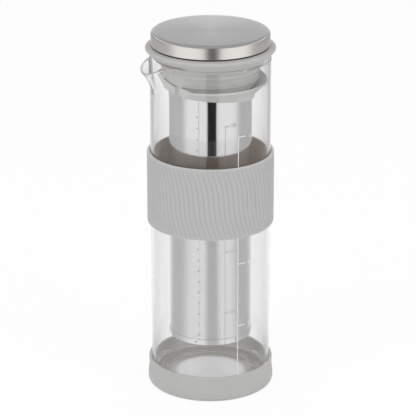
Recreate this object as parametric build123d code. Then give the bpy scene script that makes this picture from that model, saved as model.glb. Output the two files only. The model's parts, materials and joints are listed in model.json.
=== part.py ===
from build123d import *
import os
from math import cos, hypot, pi, radians, sin, tan

# Cold brew coffee maker. A glass carafe stands in a silicone boot and wears a ribbed silicone
# sleeve. A steel filter tube hangs in it from a silicone funnel collar, and a silicone stopper
# with a steel cap closes the mouth.
#
# Millimetres, +Z up. The origin is in the middle of the boot's underside. The pouring lip
# points towards -X and the side that carries the measuring scale faces -Y.

# ---- clearances between pieces -------------------------------------------------------------
SILICONE_GAP = 0.2          # between the glass and the silicone stretched round it
BASE_GAP = 0.3              # between the glass and the boot's floor
WIPE_GAP = 0.3              # between the bore and the collar's rim
SEAT_GAP = 0.3              # between the glass rim and the stopper's seat
COLLAR_GAP = 0.4            # between the collar's rim and the stopper's floor over it
SKIRT_GAP = 0.3             # between the funnel and the stopper's skirt in it
SNAP_GAP = 0.1              # between the cap, the core and the stopper's pocket

# ---- boot ----------------------------------------------------------------------------------
BOOT_HEIGHT = 18.9
BOOT_FLOOR = 2.0
BOOT_WALL = 1.9             # at the waist
BOOT_BULGE = 0.6            # how far the foot swells past the waist
BOOT_BULGE_HEIGHT = 6.5
BOOT_FOOT_ROUND = 3.5
BOOT_EDGE_ROUND = 0.8
FOOT_GROOVE_INSET = 8.0     # from the glass radius in to the middle of the ring groove under the foot
FOOT_GROOVE_WIDTH = 3.0
FOOT_GROOVE_DEPTH = 0.8

# ---- glass carafe --------------------------------------------------------------------------
GLASS_RADIUS = 43.0
GLASS_WALL = 2.2
GLASS_HEIGHT = 245.2
GLASS_FLOOR = 6.0
GLASS_HEEL = 5.0            # outer rounding between wall and floor
GLASS_INNER_HEEL = 9.0
PUNT_INSET = 13.0           # from the outer wall in to where the floor is pushed up
PUNT_HEIGHT = 0.8
PUNT_SLOPE_WIDTH = 3.2
RIM_ROUND = 0.9

# ---- pouring lip ---------------------------------------------------------------------------
LIP_REACH = 10.5            # how far the tip stands out past the wall
LIP_DROP = 6.0              # how far the tip hangs below the rim
LIP_RISE = 30.0             # height over which the wall swells into the lip
LIP_HALF_ANGLE = 27.0
LIP_SECTIONS = 5
LIP_POINTS = 15
LIP_SINK = 0.4              # the lip's sides start this far inside the wall
LIP_EDGE_START_FALL = 0.05  # fall over run of the lip's edge where it leaves the rim
LIP_EDGE_TIP_FALL = 0.75    # and at its tip

# ---- grip sleeve ---------------------------------------------------------------------------
SLEEVE_BOTTOM = 124.8
SLEEVE_HEIGHT = 52.7
SLEEVE_WALL = 2.25
SLEEVE_HEM = 1.6            # plain border above and below the ribs
RIB_COUNT = 79
RIB_DEPTH = 0.45
RIB_SLANT = 14.6            # degrees that a rib turns from the top to the bottom
RIB_LEVELS = 5

# ---- filter --------------------------------------------------------------------------------
FILTER_GAP = 11.2           # room for the coffee between the filter and the bore
TUBE_WALL = 0.5
FILTER_FOOT_HEIGHT = 28.3   # free space between the glass floor and the filter's underside
TUBE_LIP_WIDTH = 1.2        # flared top edge that hangs in the collar
FLOOR_CUP_HEIGHT = 5.8
FLOOR_CUP_WALL = 0.5
FLOOR_CUP_ROUND = 1.6
FLOOR_STEP_INSET = 9.6      # from the tube's outside in to the floor's raised step
FLOOR_STEP_HEIGHT = 1.2

# ---- funnel collar -------------------------------------------------------------------------
COLLAR_DEPTH = 15.8         # from the glass rim down to the collar's rim
COLLAR_RIM_BAND = 1.2       # height of the rim's outer edge
COLLAR_RIM_WALL = 1.0
COLLAR_RIM_ROUND = 0.3
COLLAR_SLEEVE_WALL = 1.6    # round the tube
COLLAR_CONE_HEIGHT = 9.0
COLLAR_FUNNEL_DEPTH = 5.6   # from the rim down to the tube's flared edge
COLLAR_TAIL = 3.8           # how far the skirt hangs below the cone at the back
COLLAR_FRONT_CUT = 6.0      # height that is left of the collar at the pouring side
COLLAR_FLAT_COVER = 0.3     # silicone left over the tube at the pouring-side flat
COLLAR_FLAT_WALL = 1.9
COLLAR_TAB_COVER = 3.0      # how far the tab's face stands out past the tube
COLLAR_TAB_HALF_WIDTH = 10.0

# ---- stopper -------------------------------------------------------------------------------
FLANGE_OVERHANG = 3.0       # how far the flange stands out past the glass
FLANGE_EDGE = 1.6
FLANGE_EDGE_ROUND = 0.5
FLANGE_RISE = 0.8           # how far its top climbs from the edge to the cap
SEAT_SLOPE = 46.0           # degrees from level
SEAT_WIDTH = 3.4            # from the bore in to where the conical seat ends
NECK_STEP = 1.9             # how far the body steps in below the seat
NECK_TAPER = 3.1            # how much the body narrows from its neck to its toe
TOE_ROUND = 1.4
SKIRT_WALL = 3.2            # ring that hangs from the stopper's floor into the funnel
FIN_REACH = 0.9             # how far a sealing fin stands out
FIN_HEIGHT = 1.3
FIN_EDGE_ROUND = 0.25
FIN_DROPS = (7.8, 14.2)     # from the glass rim down to each fin
STOPPER_NECK_WALL = 4.5     # from the neck's outside in to the hollow
STOPPER_TOE_WALL = 3.8
STOPPER_FLOOR = 2.8
POUR_CUT = 0.5              # how far inside the toe the pouring facets' ridge lies
POUR_FACET_TILT = 5.0       # degrees that each facet falls back from the ridge

# ---- cap and core --------------------------------------------------------------------------
CAP_INSET = 3.9             # from the flange's edge in to the cap's side
CAP_HEIGHT = 9.7
CAP_SHEET = 0.6
CAP_EDGE_ROUND = 2.2
CAP_CROWN = 0.4             # rise of the cap's top in the middle
CAP_SHADOW_GAP = 1.1        # open gap between the cap and the flange
CORE_DISC = 2.0
CORE_WALL = 1.6
CORE_PLUG_WALL = 2.0
CORE_PLUG_DEPTH = 14.0
CORE_PLUG_ROUND = 0.65
CORE_RIB_COUNT = 6
CORE_RIB_WALL = 1.6

# ---- levels that follow from the sizes above -----------------------------------------------
GLASS_BASE = BOOT_FLOOR + BASE_GAP
INSIDE_FLOOR = GLASS_BASE + GLASS_FLOOR
RIM = GLASS_BASE + GLASS_HEIGHT
BORE = GLASS_RADIUS - GLASS_WALL
PUNT_RADIUS = GLASS_RADIUS - PUNT_INSET
GRIP_BORE = GLASS_RADIUS + SILICONE_GAP
FOOT_GROOVE_RADIUS = GLASS_RADIUS - FOOT_GROOVE_INSET
TUBE_RADIUS = BORE - FILTER_GAP
FLOOR_STEP_RADIUS = TUBE_RADIUS - FLOOR_STEP_INSET
FILTER_BASE = INSIDE_FLOOR + FILTER_FOOT_HEIGHT
COLLAR_TOP = RIM - COLLAR_DEPTH
TUBE_LIP_BASE = COLLAR_TOP - COLLAR_FUNNEL_DEPTH
COLLAR_FLAT = TUBE_RADIUS + COLLAR_FLAT_COVER
COLLAR_TAB_FLAT = TUBE_RADIUS + COLLAR_TAB_COVER
COLLAR_FLAT_INSIDE = COLLAR_FLAT - COLLAR_FLAT_WALL
STOPPER_UNDERSIDE = COLLAR_TOP + COLLAR_GAP
SEAT_TANGENT = tan(radians(SEAT_SLOPE))
SEAT_END_RADIUS = BORE - SEAT_WIDTH
NECK_RADIUS = SEAT_END_RADIUS - NECK_STEP
TOE_RADIUS = NECK_RADIUS - NECK_TAPER
POCKET_TOP_RADIUS = NECK_RADIUS - STOPPER_NECK_WALL
POCKET_BOTTOM_RADIUS = TOE_RADIUS - STOPPER_TOE_WALL
POUR_FLAT = TOE_RADIUS - POUR_CUT
FLANGE_RADIUS = GLASS_RADIUS + FLANGE_OVERHANG
CAP_RADIUS = FLANGE_RADIUS - CAP_INSET
OVER = 5.0                  # how far a cutting tool runs past what it cuts


def turned(*corners):
    """Solid of revolution about Z. Each corner is (radius, height) or (radius, height, rounding)."""
    points = [(corner[0], 0, corner[1]) for corner in corners]
    rounds = [corner[2] if len(corner) > 2 else 0 for corner in corners]
    return revolve(make_face(FilletPolyline(*points, radius=rounds, close=True)), axis=Axis.Z)


def cylinder_between(radius, low, high):
    """Plain round bar on the axis."""
    return Pos(0, 0, low) * Cylinder(radius, high - low, align=(Align.CENTER, Align.CENTER, Align.MIN))


def block_towards_lip(near, far, half_width, low, high):
    """Box on the pouring side, from one distance to another along -X."""
    size_x, size_z = far - near, high - low
    return Pos(-(near + far) / 2, 0, (low + high) / 2) * Box(size_x, 2 * half_width, size_z)


def make_boot():
    """Silicone cup that the carafe stands in, waisted above a swollen foot."""
    waist = GRIP_BORE + BOOT_WALL
    foot = waist + BOOT_BULGE
    groove_inner = FOOT_GROOVE_RADIUS - FOOT_GROOVE_WIDTH / 2
    groove_outer = FOOT_GROOVE_RADIUS + FOOT_GROOVE_WIDTH / 2
    return turned(
        (0, 0),
        (groove_inner, 0),
        (groove_inner + FOOT_GROOVE_DEPTH / 2, FOOT_GROOVE_DEPTH),
        (groove_outer - FOOT_GROOVE_DEPTH / 2, FOOT_GROOVE_DEPTH),
        (groove_outer, 0),
        (foot, 0, BOOT_FOOT_ROUND),
        (foot, BOOT_BULGE_HEIGHT, BOOT_FOOT_ROUND),
        (waist, (BOOT_BULGE_HEIGHT + BOOT_HEIGHT) / 2, BOOT_FOOT_ROUND),
        (waist, BOOT_HEIGHT, BOOT_EDGE_ROUND),
        (GRIP_BORE, BOOT_HEIGHT, BOOT_EDGE_ROUND / 2),
        (GRIP_BORE, BOOT_FLOOR, GLASS_HEEL - BASE_GAP),
        (0, BOOT_FLOOR),
    )


def lip_swell(height):
    """How far the glass stands out past the wall at the lip's middle, at a height."""
    rise = (height - (RIM - LIP_RISE)) / LIP_RISE
    tip_rise = 1 - LIP_DROP / LIP_RISE
    return LIP_REACH * (rise / tip_rise) ** 2


def lip_section(wall_radius, height):
    """Level slice of the lip: a beak that fades into the round wall on both sides."""
    start = wall_radius - LIP_SINK
    swell = lip_swell(height) + LIP_SINK * (height > RIM - LIP_RISE)
    points = []
    for step in range(LIP_POINTS):
        angle = LIP_HALF_ANGLE * (2 * step / (LIP_POINTS - 1) - 1)
        radius = start + swell * (1 + cos(pi * angle / LIP_HALF_ANGLE)) / 2
        points.append((-radius * cos(radians(angle)), radius * sin(radians(angle)), height))
    return make_face(Spline(*points) + Line(points[-1], points[0]))


def make_lip(wall_radius):
    """Beak-shaped solid that stands out of a wall of this radius."""
    low, high = RIM - LIP_RISE, RIM + OVER
    heights = [low + (high - low) * step / (LIP_SECTIONS - 1) for step in range(LIP_SECTIONS)]
    return loft([lip_section(wall_radius, height) for height in heights])


def make_rim_trim():
    """What is cut off above the lip, so that its edge sweeps down to the tip."""
    start = BORE - GLASS_WALL
    tip = GLASS_RADIUS + LIP_REACH
    curve = Spline(
        (-start, 0, RIM),
        (-tip, 0, RIM - LIP_DROP),
        tangents=((-1, 0, -LIP_EDGE_START_FALL), (-1, 0, -LIP_EDGE_TIP_FALL)),
    )
    beyond = Polyline(
        (-tip, 0, RIM - LIP_DROP),
        (-tip - OVER, 0, RIM - LIP_DROP - OVER),
        (-tip - OVER, 0, RIM + OVER),
        (-start, 0, RIM + OVER),
        (-start, 0, RIM),
    )
    half_width = BORE * sin(radians(LIP_HALF_ANGLE))
    return extrude(make_face(curve + beyond), half_width, dir=(0, 1, 0), both=True)


def make_glass():
    """One blown piece: straight wall, thick floor, fire-polished rim and pouring lip."""
    blank = turned(
        (0, GLASS_BASE + PUNT_HEIGHT),
        (PUNT_RADIUS, GLASS_BASE + PUNT_HEIGHT, PUNT_HEIGHT),
        (PUNT_RADIUS + PUNT_SLOPE_WIDTH, GLASS_BASE, PUNT_HEIGHT),
        (GLASS_RADIUS, GLASS_BASE, GLASS_HEEL),
        (GLASS_RADIUS, RIM, RIM_ROUND),
        (BORE, RIM, RIM_ROUND),
        (BORE, RIM - LIP_RISE),
        (0, RIM - LIP_RISE),
    )
    hollow = turned(
        (0, INSIDE_FLOOR + PUNT_HEIGHT),
        (PUNT_RADIUS, INSIDE_FLOOR, PUNT_RADIUS),
        (BORE, INSIDE_FLOOR, GLASS_INNER_HEEL),
        (BORE, RIM + OVER),
        (0, RIM + OVER),
    )
    beak = make_lip(GLASS_RADIUS) & cylinder_between(GLASS_RADIUS + LIP_REACH + OVER, RIM - LIP_RISE, RIM)
    return blank + beak - hollow - make_lip(BORE) - make_rim_trim()


def rib_outline(height, turn):
    """Level slice of the ribbed band: one ridge and one groove for each rib."""
    crest = GRIP_BORE + SLEEVE_WALL
    points = []
    for corner in range(2 * RIB_COUNT):
        radius = crest - RIB_DEPTH * (corner % 2)
        angle = turn + pi * corner / RIB_COUNT
        points.append((radius * cos(angle), radius * sin(angle), height))
    return make_face(Polyline(*points, close=True))


def make_sleeve():
    """Silicone grip band with slanted ribs that bend into an S between two plain hems."""
    low = SLEEVE_BOTTOM + SLEEVE_HEM
    high = SLEEVE_BOTTOM + SLEEVE_HEIGHT - SLEEVE_HEM
    slices = []
    for level in range(RIB_LEVELS):
        share = level / (RIB_LEVELS - 1)
        bend = (share + share * share * (3 - 2 * share)) / 2
        slices.append(rib_outline(low + (high - low) * share, -radians(RIB_SLANT) * bend))
    ribs = loft(slices, ruled=True)
    core_radius = GRIP_BORE + SLEEVE_WALL - RIB_DEPTH
    hems = turned(
        (0, SLEEVE_BOTTOM),
        (core_radius, SLEEVE_BOTTOM, RIB_DEPTH),
        (core_radius, SLEEVE_BOTTOM + SLEEVE_HEIGHT, RIB_DEPTH),
        (0, SLEEVE_BOTTOM + SLEEVE_HEIGHT),
    )
    bore = cylinder_between(GRIP_BORE, SLEEVE_BOTTOM - OVER, SLEEVE_BOTTOM + SLEEVE_HEIGHT + OVER)
    return ribs + hems - bore


def funnel_slope():
    """Rise over run of the collar's inner cone."""
    rim_inside = BORE - WIPE_GAP - COLLAR_RIM_WALL
    return COLLAR_FUNNEL_DEPTH / (rim_inside - TUBE_RADIUS)


def funnel_height(radius):
    """Height of the collar's inner cone at a radius."""
    return TUBE_LIP_BASE + (radius - TUBE_RADIUS) * funnel_slope()


def tube_lip_top():
    """Height of the outer edge of the tube's flared lip, which lies on the cone."""
    return funnel_height(TUBE_RADIUS + TUBE_LIP_WIDTH) + TUBE_WALL * hypot(1, funnel_slope())


def make_tube():
    """Rolled steel tube, open below for its floor and flared on top to hang in the collar."""
    inside = TUBE_RADIUS - TUBE_WALL
    foot = FILTER_BASE + FLOOR_CUP_ROUND + FLOOR_CUP_WALL
    lip_radius = TUBE_RADIUS + TUBE_LIP_WIDTH
    return turned(
        (inside, foot),
        (TUBE_RADIUS, foot),
        (TUBE_RADIUS, TUBE_LIP_BASE),
        (lip_radius, funnel_height(lip_radius)),
        (lip_radius, tube_lip_top()),
        (inside, tube_lip_top() - (lip_radius - inside) * funnel_slope(), TUBE_WALL),
    )


def make_filter_floor():
    """Pressed steel cup welded over the tube's lower end, with a raised step in the middle."""
    outside = TUBE_RADIUS + FLOOR_CUP_WALL
    inside_level = FILTER_BASE + FLOOR_CUP_WALL
    return turned(
        (0, FILTER_BASE + FLOOR_STEP_HEIGHT),
        (FLOOR_STEP_RADIUS, FILTER_BASE + FLOOR_STEP_HEIGHT, FLOOR_STEP_HEIGHT / 2),
        (FLOOR_STEP_RADIUS + FLOOR_STEP_HEIGHT, FILTER_BASE, FLOOR_STEP_HEIGHT / 2),
        (outside, FILTER_BASE, FLOOR_CUP_ROUND + FLOOR_CUP_WALL),
        (outside, FILTER_BASE + FLOOR_CUP_HEIGHT),
        (TUBE_RADIUS, FILTER_BASE + FLOOR_CUP_HEIGHT),
        (TUBE_RADIUS, inside_level, FLOOR_CUP_ROUND),
        (FLOOR_STEP_RADIUS + FLOOR_STEP_HEIGHT, inside_level, FLOOR_STEP_HEIGHT / 2),
        (FLOOR_STEP_RADIUS, inside_level + FLOOR_STEP_HEIGHT, FLOOR_STEP_HEIGHT / 2),
        (0, inside_level + FLOOR_STEP_HEIGHT),
    )


def collar_tail_plane():
    """Slanted cutting block: the collar's lower edge climbs towards the pouring side."""
    sleeve_radius = TUBE_RADIUS + COLLAR_SLEEVE_WALL
    back_level = COLLAR_TOP - COLLAR_RIM_BAND - COLLAR_CONE_HEIGHT - COLLAR_TAIL
    front_level = COLLAR_TOP - COLLAR_FRONT_CUT
    back, front = sleeve_radius, -COLLAR_TAB_FLAT
    slant = (front_level - back_level) / (front - back)
    reach = BORE + OVER
    under = back_level - COLLAR_CONE_HEIGHT - OVER
    outline = Polyline(
        (-reach, 0, back_level + slant * (-reach - back)),
        (reach, 0, back_level + slant * (reach - back)),
        (reach, 0, under),
        (-reach, 0, under),
        close=True,
    )
    return extrude(make_face(outline), reach, dir=(0, 1, 0), both=True)


def make_collar():
    """Silicone funnel that centres the filter. It is flat towards the lip, so that the
    coffee round the filter can run past it, with a tab that covers the tube there."""
    rim = BORE - WIPE_GAP
    sleeve_radius = TUBE_RADIUS + COLLAR_SLEEVE_WALL
    cone_top = COLLAR_TOP - COLLAR_RIM_BAND
    cone_foot = cone_top - COLLAR_CONE_HEIGHT
    tail = cone_foot - COLLAR_TAIL - OVER
    body = turned(
        (0, tail),
        (sleeve_radius, tail),
        (sleeve_radius, cone_foot, COLLAR_RIM_BAND),
        (rim, cone_top, COLLAR_RIM_BAND / 2),
        (rim, COLLAR_TOP, COLLAR_RIM_ROUND),
        (0, COLLAR_TOP),
    )
    funnel = turned(
        (0, TUBE_LIP_BASE),
        (TUBE_RADIUS, TUBE_LIP_BASE),
        (rim - COLLAR_RIM_WALL, COLLAR_TOP),
        (rim - COLLAR_RIM_WALL, COLLAR_TOP + OVER),
        (0, COLLAR_TOP + OVER),
    )
    half_width = BORE + OVER
    above = COLLAR_TOP + OVER
    below = tail - OVER
    outside_flat = block_towards_lip(COLLAR_FLAT, half_width, half_width, below, above)
    inside_flat = block_towards_lip(COLLAR_FLAT_INSIDE, half_width, half_width, below, above + OVER)
    tab = block_towards_lip(0, COLLAR_TAB_FLAT, COLLAR_TAB_HALF_WIDTH, tail, COLLAR_TOP)
    hollow_half = COLLAR_TAB_HALF_WIDTH - COLLAR_FLAT_WALL
    hollow_far = COLLAR_TAB_FLAT - COLLAR_FLAT_WALL / 2
    tab_hollow = block_towards_lip(0, hollow_far, hollow_half, TUBE_LIP_BASE, above)
    tube_hole = cylinder_between(TUBE_RADIUS, below, above)
    solid = body - outside_flat + tab - (funnel - inside_flat) - (funnel & tab_hollow)
    return solid - tube_hole - make_tube() - collar_tail_plane()


def seat_radius(height):
    """Radius of the stopper's conical seat, which lies just clear of the rounded glass rim."""
    reach = RIM_ROUND + SEAT_GAP
    slope = radians(SEAT_SLOPE)
    touch_radius = BORE + RIM_ROUND - reach * sin(slope)
    touch_height = RIM - RIM_ROUND + reach * cos(slope)
    return touch_radius + (height - touch_height) / SEAT_TANGENT


def seat_height(radius):
    """Height of the stopper's conical seat at a radius."""
    return RIM + (radius - seat_radius(RIM)) * SEAT_TANGENT


def land_height():
    """Height of the flange's level top, which the core stands on."""
    return seat_height(FLANGE_RADIUS) + FLANGE_EDGE + FLANGE_RISE


def toe_height():
    """Height of the skirt's lower edge, clear of the funnel and of the tube's flared lip."""
    return max(funnel_height(TOE_RADIUS), tube_lip_top()) + SKIRT_GAP


def neck_radius(height):
    """Radius of the stopper's body, which narrows from its neck to its toe."""
    top = seat_height(SEAT_END_RADIUS) - (SEAT_END_RADIUS - NECK_RADIUS)
    toe = toe_height()
    return TOE_RADIUS + (NECK_RADIUS - TOE_RADIUS) * (height - toe) / (top - toe)


def make_fin(level):
    """Sealing fin round the stopper's body: flat on top, tapered below."""
    return turned(
        (POCKET_BOTTOM_RADIUS + STOPPER_FLOOR, level),
        (neck_radius(level) + FIN_REACH, level, FIN_EDGE_ROUND),
        (neck_radius(level - FIN_HEIGHT), level - FIN_HEIGHT),
        (POCKET_BOTTOM_RADIUS + STOPPER_FLOOR, level - FIN_HEIGHT),
    )


def pour_facet(side):
    """Half space cut off the stopper's pouring side. Two of them meet in an upright ridge."""
    reach = FLANGE_RADIUS + OVER
    low, high = toe_height() - OVER, RIM - RIM_ROUND
    cutter = Pos(-reach / 2, 0, (low + high) / 2) * Box(reach, 2 * reach, high - low)
    return Pos(-POUR_FLAT, 0, 0) * Rot(0, 0, side * POUR_FACET_TILT) * cutter


def make_stopper():
    """Hollow silicone stopper: wide flange, conical seat and finned body, faceted to the lip,
    with a skirt that reaches into the funnel and stops short of the collar's flat side."""
    flange_low = seat_height(FLANGE_RADIUS)
    land = land_height()
    seat_end = seat_height(SEAT_END_RADIUS)
    neck_top = seat_end - (SEAT_END_RADIUS - NECK_RADIUS)
    toe = toe_height()
    skirt_inside = TOE_RADIUS - SKIRT_WALL
    floor_top = STOPPER_UNDERSIDE + STOPPER_FLOOR
    body = turned(
        (0, STOPPER_UNDERSIDE),
        (skirt_inside, STOPPER_UNDERSIDE),
        (skirt_inside, toe),
        (TOE_RADIUS, toe, TOE_ROUND),
        (NECK_RADIUS, neck_top, FIN_HEIGHT),
        (SEAT_END_RADIUS, seat_end, FIN_HEIGHT / 2),
        (FLANGE_RADIUS, flange_low, FLANGE_EDGE_ROUND),
        (FLANGE_RADIUS, flange_low + FLANGE_EDGE, FLANGE_EDGE_ROUND),
        (CAP_RADIUS, land),
        (0, land),
    )
    pocket = turned(
        (0, floor_top),
        (POCKET_BOTTOM_RADIUS, floor_top, STOPPER_FLOOR),
        (POCKET_TOP_RADIUS, land),
        (POCKET_TOP_RADIUS, land + OVER),
        (0, land + OVER),
    )
    for drop in FIN_DROPS:
        body += make_fin(RIM - drop)
    for side in (-1, 1):
        body -= pour_facet(side)
    reach = FLANGE_RADIUS + OVER
    notch = block_towards_lip(COLLAR_FLAT_INSIDE - SKIRT_GAP, reach, reach, toe - OVER, STOPPER_UNDERSIDE)
    return body - notch - pocket


def make_core():
    """Moulded core: a ribbed cup that the cap snaps over, with a plug in the stopper."""
    land = land_height()
    roof = land + CAP_SHADOW_GAP + CAP_HEIGHT - CAP_CROWN - CAP_SHEET - SNAP_GAP
    outside = CAP_RADIUS - CAP_SHEET - SNAP_GAP
    shoulder = roof - CAP_EDGE_ROUND
    plug_radius = POCKET_BOTTOM_RADIUS - SNAP_GAP
    plug_foot = land - CORE_PLUG_DEPTH
    cup = turned(
        (0, land),
        (outside, land),
        (outside, shoulder),
        (outside - CORE_WALL, shoulder),
        (outside - CORE_WALL, land + CORE_DISC),
        (0, land + CORE_DISC),
    )
    plug = turned(
        (plug_radius - CORE_PLUG_WALL, plug_foot),
        (plug_radius, plug_foot, CORE_PLUG_ROUND),
        (plug_radius, land),
        (plug_radius - CORE_PLUG_WALL, land),
    )
    core = cup + plug
    length = outside - CORE_WALL / 2
    for index in range(CORE_RIB_COUNT):
        rib = Pos(length / 2, 0, (land + shoulder) / 2) * Box(length, CORE_RIB_WALL, shoulder - land)
        core += Rot(0, 0, 360 * index / CORE_RIB_COUNT) * rib
    return core


def make_cap():
    """Spun steel cap: slightly crowned top, rounded edge and straight side."""
    low = land_height() + CAP_SHADOW_GAP
    top = low + CAP_HEIGHT
    inside = CAP_RADIUS - CAP_SHEET
    return turned(
        (0, top),
        (CAP_RADIUS, top - CAP_CROWN, CAP_EDGE_ROUND),
        (CAP_RADIUS, low),
        (inside, low),
        (inside, top - CAP_CROWN - CAP_SHEET, CAP_EDGE_ROUND - CAP_SHEET),
        (0, top - CAP_SHEET),
    )


PIECES = {
    "base_boot": make_boot,
    "glass_carafe": make_glass,
    "grip_sleeve": make_sleeve,
    "filter_tube": make_tube,
    "filter_floor": make_filter_floor,
    "filter_collar": make_collar,
    "lid_stopper": make_stopper,
    "lid_core": make_core,
    "lid_cap": make_cap,
}

os.makedirs("parts", exist_ok=True)
for name, make in PIECES.items():
    export_step(make(), f"parts/{name}.step")
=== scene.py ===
import json
import logging
import math
from collections.abc import Callable, Sequence
from dataclasses import dataclass
from enum import Enum

import bmesh
import bpy
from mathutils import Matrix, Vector

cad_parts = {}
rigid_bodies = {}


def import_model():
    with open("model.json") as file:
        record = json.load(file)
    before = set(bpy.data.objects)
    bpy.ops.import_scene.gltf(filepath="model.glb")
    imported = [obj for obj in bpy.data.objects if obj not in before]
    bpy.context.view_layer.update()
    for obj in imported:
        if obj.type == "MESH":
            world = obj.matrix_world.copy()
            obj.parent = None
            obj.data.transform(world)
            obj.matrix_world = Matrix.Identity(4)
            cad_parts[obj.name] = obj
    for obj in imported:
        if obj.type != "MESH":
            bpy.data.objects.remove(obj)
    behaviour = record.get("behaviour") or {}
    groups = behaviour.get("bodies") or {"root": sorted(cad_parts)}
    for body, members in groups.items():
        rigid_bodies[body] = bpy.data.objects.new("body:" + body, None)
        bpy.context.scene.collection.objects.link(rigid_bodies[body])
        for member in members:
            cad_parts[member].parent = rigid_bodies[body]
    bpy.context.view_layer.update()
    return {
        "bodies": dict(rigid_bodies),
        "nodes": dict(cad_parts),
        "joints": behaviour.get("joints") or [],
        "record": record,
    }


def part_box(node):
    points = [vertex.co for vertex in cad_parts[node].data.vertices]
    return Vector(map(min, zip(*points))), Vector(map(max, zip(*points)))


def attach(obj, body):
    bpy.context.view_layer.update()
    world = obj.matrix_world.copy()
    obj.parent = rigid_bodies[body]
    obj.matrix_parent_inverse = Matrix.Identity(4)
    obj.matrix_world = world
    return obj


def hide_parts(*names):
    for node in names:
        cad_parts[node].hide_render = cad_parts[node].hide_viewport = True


# Looks of the cold brew coffee maker: a glass carafe in a silicone boot and ribbed sleeve, a steel
# filter hung from a silicone funnel collar, and a silicone stopper with a spun steel cap.
# Sizes are millimetres in the row frame until a mesh is written, which is in metres.

MM = 0.001
LOG = logging.getLogger("cold_brew_looks")
LIP_ANGLE = math.pi                     # the pouring lip points along -X
SCALE_ANGLE = -math.pi / 2 - 0.010      # the measuring scale faces -Y
CREASE = math.radians(38.0)             # edges bent more than this stay sharp
ARC_STEP = 11.0                         # degrees that one step of a rounded corner turns at most
ARC_SHARE = 0.49                        # share of a straight run that a rounded corner may use up

Point = tuple[float, float]
Colour = tuple[float, float, float]
Place = tuple[float, float, float]
Section = Callable[[float], list[Point]]
Socket = bpy.types.NodeSocket
Node = bpy.types.Node


class Slot(Enum):
    """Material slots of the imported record."""

    SILICONE = "silicone"
    GLASS = "glass"
    FILTER_STEEL = "filter_steel"
    CAP_STEEL = "cap_steel"
    CORE_PLASTIC = "core_plastic"


# ---- outlines and meshes -----------------------------------------------------------------------


@dataclass(frozen=True)
class Corner:
    """One corner of a turned outline, with how far it is rounded."""

    radius: float
    height: float
    rounding: float = 0.0


@dataclass(frozen=True)
class Extent:
    """Lowest and highest corner of a CAD node, in millimetres."""

    low: Vector
    high: Vector

    @staticmethod
    def of(node: str) -> "Extent":
        """Reads a node's box from the frame.

        Args:
            node: Name of the CAD node.

        Returns:
            Its extent in millimetres.
        """
        low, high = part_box(node)
        return Extent(low / MM, high / MM)


def smooth_step(value: float) -> float:
    """Eases 0..1 in and out, clamped at both ends."""
    share = max(0.0, min(1.0, value))
    return share * share * (3 - 2 * share)


def soft_min(first: float, second: float, blend: float) -> float:
    """Smaller of two lengths, with a rounded change over.

    Args:
        first: One length.
        second: The other length.
        blend: Length over which the two run into each other.

    Returns:
        The blended minimum.
    """
    share = max(0.0, min(1.0, 0.5 + (second - first) / (2 * blend)))
    return second * (1 - share) + first * share - blend * share * (1 - share)


def angle_between(angle: float, middle: float) -> float:
    """Signed difference of two angles, from -pi to pi."""
    return math.atan2(math.sin(angle - middle), math.cos(angle - middle))


def rounded_outline(corners: Sequence[Corner], longest: float) -> list[Point]:
    """Turns corners into a fine, open outline with rounded corners.

    Args:
        corners: The outline's corners in order.
        longest: Longest run that is left undivided.

    Returns:
        Points (radius, height) along the outline.
    """
    points: list[Vector] = []
    for index, corner in enumerate(corners):
        here = Vector((corner.radius, corner.height))
        if corner.rounding <= 0 or index in (0, len(corners) - 1):
            points.append(here)
            continue
        before, after = corners[index - 1], corners[index + 1]
        back = Vector((before.radius, before.height)) - here
        ahead = Vector((after.radius, after.height)) - here
        half = back.angle(ahead) / 2
        room = ARC_SHARE * min(back.length, ahead.length)
        reach = min(corner.rounding / math.tan(half), room)
        radius = reach * math.tan(half)
        middle = here + (back.normalized() + ahead.normalized()).normalized() * (radius / math.sin(half))
        start = here + back.normalized() * reach - middle
        end = here + ahead.normalized() * reach - middle
        turn = math.pi - 2 * half
        side = 1 if start.x * end.y - start.y * end.x > 0 else -1
        steps = max(2, math.ceil(math.degrees(turn) / ARC_STEP))
        for step in range(steps + 1):
            swing = side * turn * step / steps
            cosine, sine = math.cos(swing), math.sin(swing)
            turned = (start.x * cosine - start.y * sine, start.x * sine + start.y * cosine)
            points.append(middle + Vector(turned))
    outline: list[Point] = []
    for first, second in zip(points, points[1:]):
        pieces = max(1, math.ceil((second - first).length / longest))
        for piece in range(pieces):
            spot = first.lerp(second, piece / pieces)
            outline.append((max(0.0, spot.x), spot.y))
    outline.append((max(0.0, points[-1].x), points[-1].y))
    return outline


def on_cylinder(radius: float, angle: float, height: float) -> Place:
    """Place in metres of a radius and height in millimetres, at an angle."""
    return radius * math.cos(angle) * MM, radius * math.sin(angle) * MM, height * MM


def linked(name: str, data: bpy.types.ID) -> bpy.types.Object:
    """Makes an object of some data and puts it in the scene.

    Args:
        name: Name of the object.
        data: Its mesh, curve, lamp or camera.

    Returns:
        The object.
    """
    thing = bpy.data.objects.new(name, data)
    bpy.context.scene.collection.objects.link(thing)
    return thing


def ring_angles(count: int, middle: float = LIP_ANGLE, half_width: float = 0.0,
                finer: int = 1) -> list[float]:
    """Angles round the axis, closer together in one stretch.

    Args:
        count: Even divisions of the full turn.
        middle: Middle of the finer stretch.
        half_width: Half of the finer stretch, in radians.
        finer: How many times finer it is.

    Returns:
        Rising angles in radians.
    """
    step = 2 * math.pi / count
    angles: list[float] = []
    for index in range(count):
        angle = index * step
        near = abs(angle_between(angle + step / 2, middle)) < half_width
        pieces = finer if near else 1
        angles.extend(angle + step * piece / pieces for piece in range(pieces))
    return angles


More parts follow.
